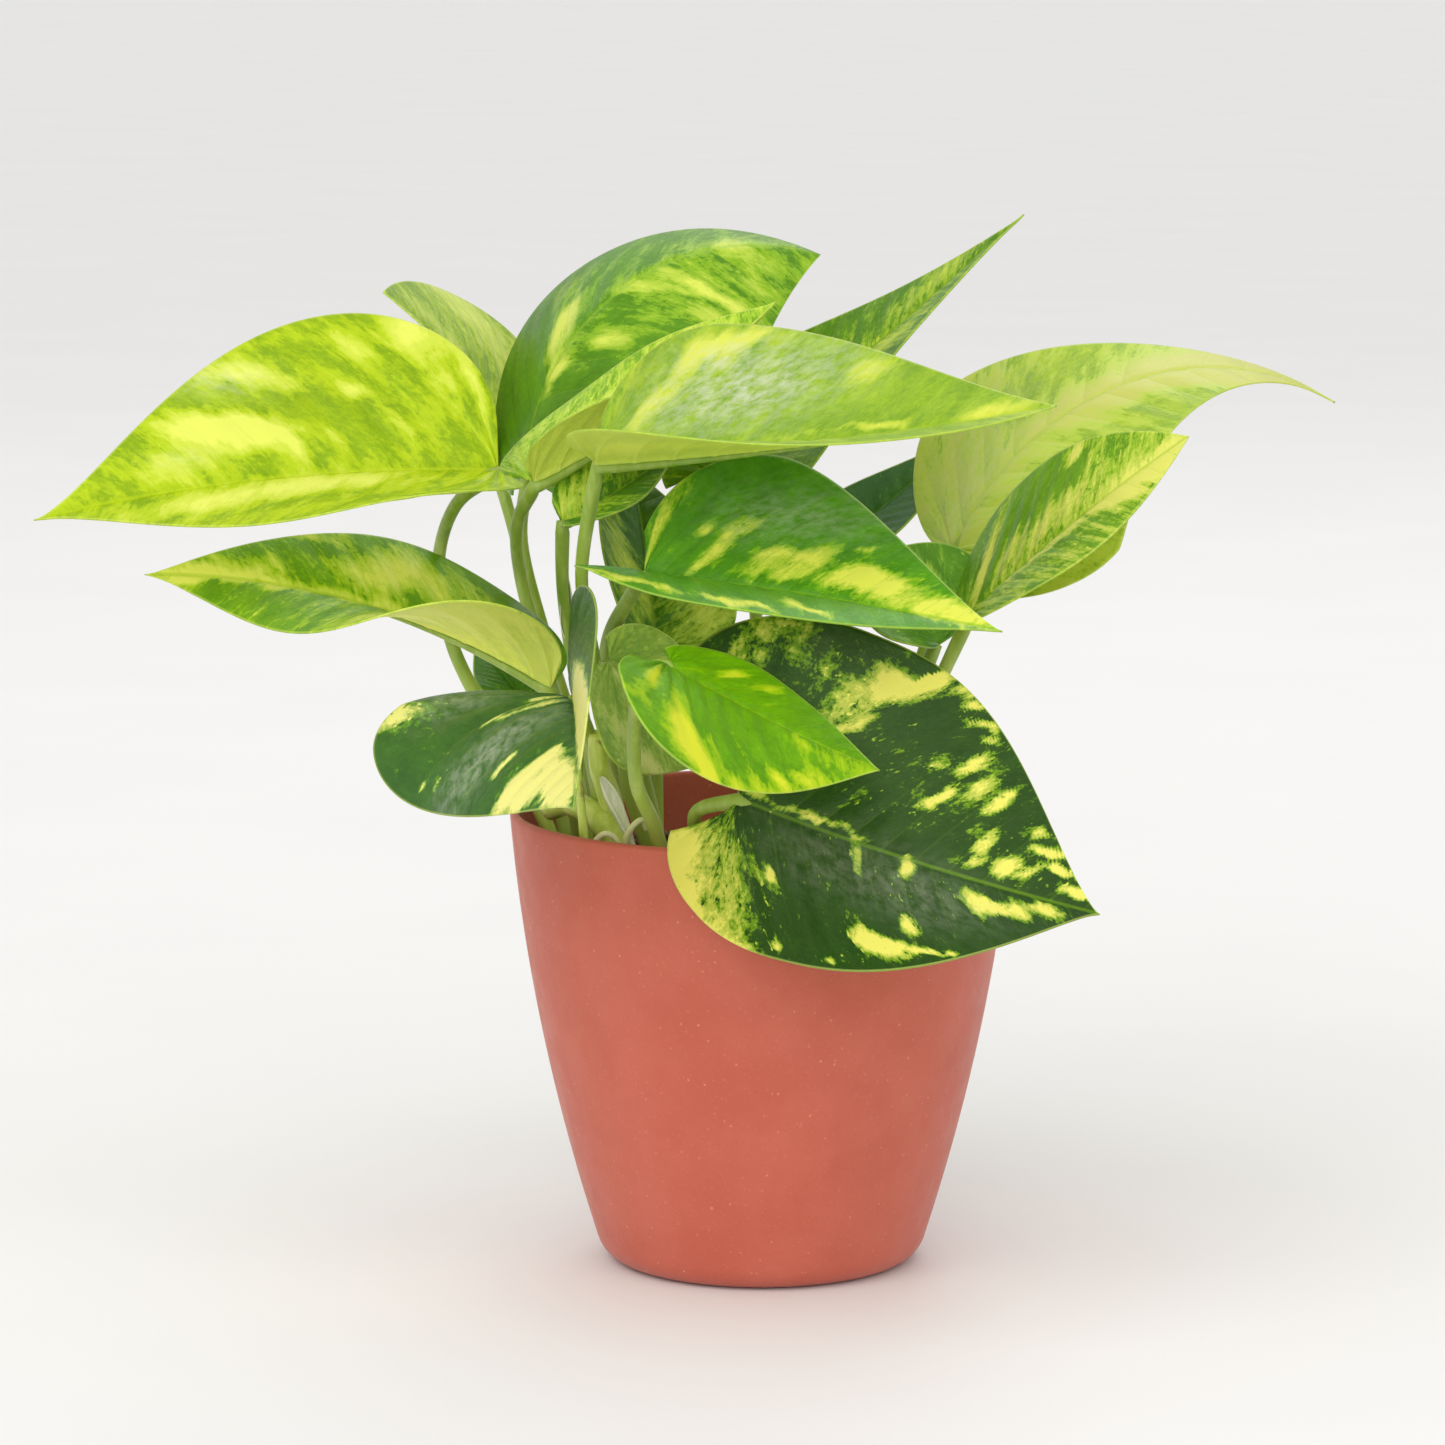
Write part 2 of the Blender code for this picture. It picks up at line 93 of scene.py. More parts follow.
def blend(tree, share, first, second, kind="MIX"):
    node = tree.nodes.new("ShaderNodeMix")
    node.data_type = "RGBA"
    node.blend_type = kind
    colours = [socket for socket in node.inputs if socket.type == "RGBA"]
    put(node.inputs["Factor"], share)
    put(colours[0], first)
    put(colours[1], second)
    return [socket for socket in node.outputs if socket.type == "RGBA"][0]


def stretched(tree, vector, scale, shift=(0.0, 0.0, 0.0)):
    node = tree.nodes.new("ShaderNodeMapping")
    put(node.inputs["Vector"], vector)
    node.inputs["Scale"].default_value = scale
    node.inputs["Location"].default_value = shift
    return node.outputs[0]


def grain(tree, vector, scale, detail=2.0, roughness=0.5):
    node = tree.nodes.new("ShaderNodeTexNoise")
    put(node.inputs["Vector"], vector)
    node.inputs["Scale"].default_value = scale
    node.inputs["Detail"].default_value = detail
    node.inputs["Roughness"].default_value = roughness
    return node.outputs["Fac"]


def cells(tree, vector, scale, feature="F1", output="Distance"):
    node = tree.nodes.new("ShaderNodeTexVoronoi")
    node.feature = feature
    put(node.inputs["Vector"], vector)
    node.inputs["Scale"].default_value = scale
    return node.outputs[output]


def relief(tree, height, strength, distance):
    node = tree.nodes.new("ShaderNodeBump")
    node.inputs["Strength"].default_value = strength
    node.inputs["Distance"].default_value = distance
    put(node.inputs["Height"], height)
    return node.outputs["Normal"]


def stored(tree, name, output="Fac"):
    """A value or a colour that was stored on the mesh's points."""
    node = tree.nodes.new("ShaderNodeAttribute")
    node.attribute_name = name
    return node.outputs[output]


def object_place(tree):
    return tree.nodes.new("ShaderNodeTexCoord").outputs["Object"]


def new_material(name, roughness=0.5, specular=0.5):
    made = bpy.data.materials.new(name)
    made.use_nodes = True
    shader = made.node_tree.nodes["Principled BSDF"]
    shader.inputs["Roughness"].default_value = roughness
    shader.inputs["Specular IOR Level"].default_value = specular
    return made, made.node_tree, shader


def new_group(name, inputs, outputs):
    """A node group with named sockets: (name, kind) pairs."""
    group = bpy.data.node_groups.new(name, "ShaderNodeTree")
    for label, kind in inputs:
        group.interface.new_socket(name=label, in_out="INPUT", socket_type=kind)
    for label, kind in outputs:
        group.interface.new_socket(name=label, in_out="OUTPUT", socket_type=kind)
    return group, group.nodes.new("NodeGroupInput"), group.nodes.new("NodeGroupOutput")


def use_group(tree, group, **values):
    node = tree.nodes.new("ShaderNodeGroup")
    node.node_tree = group
    for label, value in values.items():
        put(node.inputs[label], value)
    return node.outputs


print("helpers ready, white is", screen(255, 255, 255)[:3])

# %% [markdown]
# ## Pieces from bmesh
# Every new piece is shaped in a bmesh with its real place in the mesh, so that its object can stay at
# the origin. The helper below turns the bmesh into an object, lets it ride on the plant's one body,
# hides the solids it stands for, and prints how many faces it has.

# %% Finish a piece


def finish_piece(name, shape, materials, stands_for=()):
    mesh = bpy.data.meshes.new(name)
    shape.to_mesh(mesh)
    shape.free()
    mesh.shade_smooth()
    piece = bpy.data.objects.new(name, mesh)
    bpy.context.scene.collection.objects.link(piece)
    for made in materials:
        mesh.materials.append(made)
    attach(piece, "root")
    if stands_for:
        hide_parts(*stands_for)
    print(f"{name}: {len(mesh.polygons)} faces")
    return piece


# %% [markdown]
# ## Camera
# The view is that of someone sitting at the table: level with the leaves, looking slightly down. The
# lens is long, so lines stay calm. The numbers come from fitting the pot's ellipse and its foot.

# %% Make the camera
LENS_MM = 146.4
EYE = Vector((-0.0093, -1.3808, 0.3397))
LOOK_DOWN = 8.65

camera_data = bpy.data.cameras.new("camera")
camera_data.sensor_width = 36.0
camera_data.lens = LENS_MM
camera = bpy.data.objects.new("camera", camera_data)
camera.location = EYE
camera.rotation_euler = (radians(90.0 - LOOK_DOWN), 0.0, 0.0)
bpy.context.scene.collection.objects.link(camera)
bpy.context.scene.camera = camera
print("camera height in mm:", EYE.z / MM)

# %% [markdown]
# ## Floor and light
# A pale floor and a bright, even room. The room itself is the main lamp, so shadows are soft and the
# waxy leaves pick up a broad white sheen. A large soft lamp above the front left models the shapes,
# weaker ones on the right and at the front fill them, one behind parts the leaves from the floor, and
# a sun with a very wide disc keeps the far floor bright.

# %% Build the floor and the lamps
FLOOR_RADIUS = 16.0
FLOOR_COLOUR = screen(233, 232, 230)
ROOM_STRENGTH = 0.74

floor_shape = bmesh.new()
bmesh.ops.create_circle(floor_shape, cap_ends=True, segments=96, radius=FLOOR_RADIUS)
floor_mesh = bpy.data.meshes.new("floor")
floor_shape.to_mesh(floor_mesh)
floor_shape.free()
floor = bpy.data.objects.new("floor", floor_mesh)
bpy.context.scene.collection.objects.link(floor)
floor_material, floor_tree, floor_shader = new_material("pale floor", 0.6, 0.3)
floor_mist = grain(floor_tree, object_place(floor_tree), 9.0, 3.0)
put(floor_shader.inputs["Base Color"],
    blend(floor_tree, step_up(floor_tree, floor_mist, 0.3, 0.7, 0.0, 0.25),
          FLOOR_COLOUR, screen(226, 225, 224)))
floor_mesh.materials.append(floor_material)

world = bpy.data.worlds.new("room")
world.use_nodes = True
world.node_tree.nodes["Background"].inputs["Color"].default_value = (1.0, 1.0, 1.0, 1.0)
world.node_tree.nodes["Background"].inputs["Strength"].default_value = ROOM_STRENGTH
bpy.context.scene.world = world
bpy.context.scene.view_settings.view_transform = "Standard"


def soft_lamp(name, place, aim, width, watts):
    data = bpy.data.lights.new(name, "AREA")
    data.shape = "RECTANGLE"
    data.size = width
    data.size_y = width * 0.8
    data.energy = watts
    lamp = bpy.data.objects.new(name, data)
    lamp.location = place
    lamp.rotation_euler = (Vector(aim) - Vector(place)).to_track_quat("-Z", "Y").to_euler()
    bpy.context.scene.collection.objects.link(lamp)
    return lamp


soft_lamp("lamp_left", (-0.9, -1.1, 1.3), (0, 0, 0.14), 0.9, 4.8)
soft_lamp("lamp_right", (1.1, -1.0, 0.9), (0, 0, 0.14), 0.8, 2.0)
soft_lamp("lamp_front", (-0.1, -1.6, 0.5), (0, 0, 0.12), 0.6, 3.4)
soft_lamp("lamp_behind", (0.3, 1.3, 1.4), (0, 0, 0.16), 0.9, 4.0)
sun_data = bpy.data.lights.new("wide_sun", "SUN")
sun_data.energy = 1.0
sun_data.angle = radians(70)
sun = bpy.data.objects.new("wide_sun", sun_data)
sun.rotation_euler = (radians(38), radians(-14), 0.0)
bpy.context.scene.collection.objects.link(sun)

# %% [markdown]
# ## The pot
# The real pot is moulded from a matte plastic composite with fine light specks, like terracotta to the
# eye. It is one wall, turned round its axis, so half of its section is drawn once and spun. The wall
# leans out and swells a little on the way up, and the foot and the rim are rounded.

# %% Turn the pot
RIM_RADIUS = 60.0
BASE_RADIUS = 37.5
POT_HEIGHT = 109.0
POT_BULGE = 3.4
POT_WALL = 2.2
POT_FLOOR = 3.0
FOOT_ROUND = 8.0
POT_TURNS = 144


def pot_radius(z):
    """Outer radius of the wall at height z, in mm, before the foot is rounded."""
    share = z / POT_HEIGHT
    return BASE_RADIUS + (RIM_RADIUS - BASE_RADIUS) * share + 4 * POT_BULGE * share * (1 - share)


def arc(centre_x, centre_z, radius, start, end, steps):
    for step in range(steps + 1):
        angle = radians(start + (end - start) * step / steps)
        yield centre_x + radius * cos(angle), centre_z + radius * sin(angle)


def foot_arc(floor, inset, radius, steps):
    """A rounding in mm that starts flat at the floor and runs smoothly into the leaning wall."""
    share = (floor + radius) / POT_HEIGHT
    lean = atan((RIM_RADIUS - BASE_RADIUS + 4 * POT_BULGE * (1 - 2 * share)) / POT_HEIGHT)
    join = floor + radius * (1 - sin(lean))
    centre = pot_radius(join) - inset - radius * cos(lean)
    return list(arc(centre, floor + radius, radius, -90, -lean * 180 / pi, steps))


def pot_section():
    """Half of the pot's section, from the middle of the inside floor over the rim to the base."""
    top = POT_HEIGHT - POT_WALL / 2
    inner = foot_arc(POT_FLOOR, POT_WALL, FOOT_ROUND - POT_WALL, 8)
    outer = foot_arc(0.0, 0.0, FOOT_ROUND, 12)
    section = [(0.0, POT_FLOOR)] + inner
    wall_steps = 30
    for step in range(1, wall_steps + 1):
        z = inner[-1][1] + (top - inner[-1][1]) * step / wall_steps
        section.append((pot_radius(z) - POT_WALL, z))
    section += list(arc(pot_radius(top) - POT_WALL / 2, top, POT_WALL / 2, 180, 0, 10))[1:]
    for step in range(1, wall_steps):
        z = top - (top - outer[-1][1]) * step / wall_steps
        section.append((pot_radius(z), z))
    section += outer[::-1]
    section.append((0.0, 0.0))
    return section


def spin_round(section, turns):
    """A bmesh turned round Z from a half section in mm, with its poles closed and faces outwards."""
    shape = bmesh.new()
    corners = [shape.verts.new((x * MM, 0.0, z * MM)) for x, z in section]
    for first, second in zip(corners, corners[1:]):
        shape.edges.new((first, second))
    bmesh.ops.spin(shape, geom=shape.verts[:] + shape.edges[:], cent=(0, 0, 0), axis=(0, 0, 1),
                   angle=2 * pi, steps=turns, use_merge=True)
    bmesh.ops.remove_doubles(shape, verts=shape.verts[:], dist=0.00001)
    bmesh.ops.recalc_face_normals(shape, faces=shape.faces[:])
    return shape


pot_shape = spin_round(pot_section(), POT_TURNS)

# %% [markdown]
# The finish is a warm brick red. Under it lie three things that the eye reads as composite: a soft
# mottle a few centimetres wide, dense pale specks smaller than a millimetre with a few larger ones,
# and a fine orange-peel skin that breaks up the sheen. The specks come from cells of noise, each kept
# only where its cell draws a high number, so that they lie unevenly.

# %% Paint the pot
POT_RED = screen(194, 99, 79)
POT_DEEP = screen(187, 91, 71)
POT_SPECK = screen(226, 152, 126)
POT_DARK = screen(150, 66, 50)

speck_group, speck_in, speck_out = new_group(
    "fine specks", [("Place", "NodeSocketVector"), ("Size", "NodeSocketFloat"), ("Share", "NodeSocketFloat")],
    [("Mask", "NodeSocketFloat")])
speck_cells = speck_group.nodes.new("ShaderNodeTexVoronoi")
speck_cells.inputs["Randomness"].default_value = 1.0
put(speck_cells.inputs["Vector"], speck_in.outputs["Place"])
put(speck_cells.inputs["Scale"], speck_in.outputs["Size"])
speck_pick = step_up(speck_group, speck_cells.outputs["Color"], speck_in.outputs["Share"], 1.0)
speck_dot = step_up(speck_group, speck_cells.outputs["Distance"], 0.12, 0.34, 1.0, 0.0)
put(speck_out.inputs["Mask"], calc(speck_group, "MULTIPLY", speck_pick, speck_dot))

pot_material, pot_tree, pot_shader = new_material("speckled terracotta composite", 0.5, 0.3)
pot_place = object_place(pot_tree)
pot_mottle = step_up(pot_tree, grain(pot_tree, pot_place, 45.0, 4.0, 0.6), 0.3, 0.72)
pot_colour = blend(pot_tree, pot_mottle, POT_DEEP, POT_RED)
POT_SPECKS = ((1500.0, 0.5, 0.35, POT_SPECK), (820.0, 0.72, 0.6, POT_SPECK), (420.0, 0.9, 0.7, POT_SPECK),
              (700.0, 0.9, 0.4, POT_DARK))
for speck_size, speck_share, speck_strength, speck_tone in POT_SPECKS:
    speck_mask = use_group(pot_tree, speck_group, Place=pot_place, Size=speck_size, Share=speck_share)["Mask"]
    speck_mask = calc(pot_tree, "MULTIPLY", speck_mask, speck_strength)
    pot_colour = blend(pot_tree, speck_mask, pot_colour, speck_tone)
put(pot_shader.inputs["Base Color"], pot_colour)
pot_skin = grain(pot_tree, pot_place, 1400.0, 2.0, 0.6)
pot_wave = grain(pot_tree, pot_place, 160.0, 2.0, 0.5)
pot_height = calc(pot_tree, "ADD", pot_skin, calc(pot_tree, "MULTIPLY", pot_wave, 0.8))
put(pot_shader.inputs["Normal"], relief(pot_tree, pot_height, 0.25, 0.0003))
put(pot_shader.inputs["Roughness"], step_up(pot_tree, pot_wave, 0.3, 0.7, 0.44, 0.56))
pot_shader.inputs["Sheen Weight"].default_value = 0.1
pot_shader.inputs["Sheen Roughness"].default_value = 0.45

finish_piece("pot_shell", pot_shape, [pot_material], ["pot"])

# %% [markdown]
# ## The soil
# Moist, dark potting soil fills the pot to 15 mm below the rim and rises in a low mound where most of
# the stalks come out. Its surface is a round grid whose points are raised by several sizes of noise.
# Crumbs and bits of bark lie on it: a few hundred small, roughened lumps, each of only a few faces.

# %% Shape the soil
SOIL_BELOW_RIM = 15.0
MOUND_HEIGHT = 6.0
MOUND_AT = (-30.0, 0.0)
MOUND_SPREAD = 20.0
SOIL_RINGS = 60
SOIL_AROUND = 150


def soil_height(x, y):
    """Height of the soil in mm: level, with a mound by the stalks and a slight unevenness."""
    reach = (x - MOUND_AT[0]) ** 2 + (y - MOUND_AT[1]) ** 2
    mound = MOUND_HEIGHT * exp(-reach / (2 * MOUND_SPREAD ** 2))
    return POT_HEIGHT - SOIL_BELOW_RIM + mound + 0.5 * sin(0.31 * x + 0.7) * cos(0.27 * y + 0.4)


def crumbs(x, y):
    """Roughness of the soil's surface in mm, from clods down to grains."""
    clods = noise.noise(Vector((x * 0.16, y * 0.16, 3.0)))
    lumps = noise.noise(Vector((x * 0.5, y * 0.5, 7.0)))
    grains = noise.noise(Vector((x * 1.5, y * 1.5, 11.0)))
    return 1.0 * clods + 0.75 * lumps + 0.35 * grains


soil_edge = pot_radius(POT_HEIGHT - SOIL_BELOW_RIM) - POT_WALL - 0.1
soil_section = [(soil_edge * ring / SOIL_RINGS, POT_HEIGHT - SOIL_BELOW_RIM) for ring in range(SOIL_RINGS + 1)]
soil_foot = foot_arc(POT_FLOOR + 0.3, POT_WALL + 0.3, FOOT_ROUND - POT_WALL, 6)
soil_top = POT_HEIGHT - SOIL_BELOW_RIM
for ring in range(1, 9):
    z = soil_top - (soil_top - soil_foot[-1][1]) * ring / 9
    soil_section.append((pot_radius(z) - POT_WALL - 0.3, z))
soil_section += soil_foot[::-1]
soil_section.append((0.0, POT_FLOOR + 0.3))
soil_shape = spin_round(soil_section, SOIL_AROUND)
for corner in soil_shape.verts:
    x, y, z = corner.co / MM
    if z > POT_HEIGHT - SOIL_BELOW_RIM - 0.5:
        corner.co.z = (soil_height(x, y) + crumbs(x, y)) * MM
bmesh.ops.recalc_face_normals(soil_shape, faces=soil_shape.faces[:])

# %% Paint the soil
soil_material, soil_tree, soil_shader = new_material("moist potting soil", 0.9, 0.25)
soil_place = object_place(soil_tree)
soil_tone = grain(soil_tree, soil_place, 260.0, 4.0, 0.7)
soil_colour = blend(soil_tree, step_up(soil_tree, soil_tone, 0.35, 0.7), screen(38, 27, 20), screen(92, 68, 48))
soil_fleck = use_group(soil_tree, speck_group, Place=soil_place, Size=420.0, Share=0.8)["Mask"]
soil_colour = blend(soil_tree, calc(soil_tree, "MULTIPLY", soil_fleck, 0.6), soil_colour, screen(136, 104, 72))
put(soil_shader.inputs["Base Color"], soil_colour)
soil_fine = grain(soil_tree, soil_place, 900.0, 4.0, 0.75)
put(soil_shader.inputs["Normal"], relief(soil_tree, soil_fine, 0.8, 0.0008))
put(soil_shader.inputs["Roughness"], step_up(soil_tree, soil_tone, 0.3, 0.7, 0.7, 0.98))

finish_piece("soil_bed", soil_shape, [soil_material], ["soil"])

# %% Scatter crumbs and bark
CRUMB_COUNT = 620
GOLDEN_TURN = radians(137.508)

bark_material, bark_tree, bark_shader = new_material("bark crumbs", 0.85, 0.3)
bark_place = object_place(bark_tree)
bark_tone = grain(bark_tree, bark_place, 120.0, 3.0, 0.6)
bark_colour = blend(bark_tree, step_up(bark_tree, bark_tone, 0.38, 0.66), screen(52, 36, 26), screen(134, 98, 66))
put(bark_shader.inputs["Base Color"], bark_colour)
put(bark_shader.inputs["Normal"], relief(bark_tree, grain(bark_tree, bark_place, 800.0, 3.0), 0.5, 0.0005))

crumb_shape = bmesh.new()
for index in range(CRUMB_COUNT):
    reach = (soil_edge - 2.5) * ((index + 0.5) / CRUMB_COUNT) ** 0.5
    turn = index * GOLDEN_TURN
    x = reach * cos(turn)
    y = reach * sin(turn)
    chance = Vector((sin(index * 12.9), sin(index * 78.2), sin(index * 37.7)))
    size = 0.7 + 1.5 * abs(chance.x) ** 3
    made = bmesh.ops.create_icosphere(crumb_shape, subdivisions=1, radius=size * MM)["verts"]
    flat = Matrix.Diagonal((1.0, 0.65 + 0.3 * chance.y, 0.5 + 0.2 * chance.z, 1.0))
    spun = Matrix.Rotation(pi * chance.y, 4, chance.normalized())
    place = Vector((x + chance.y, y + chance.z, soil_height(x, y) + crumbs(x, y) + 0.2 * size)) * MM
    bmesh.ops.transform(crumb_shape, matrix=Matrix.Translation(place) @ spun @ flat, verts=made)
    for corner in made:
        corner.co += noise.noise_vector(corner.co * 900) * size * 0.35 * MM
finish_piece("soil_crumbs", crumb_shape, [bark_material])
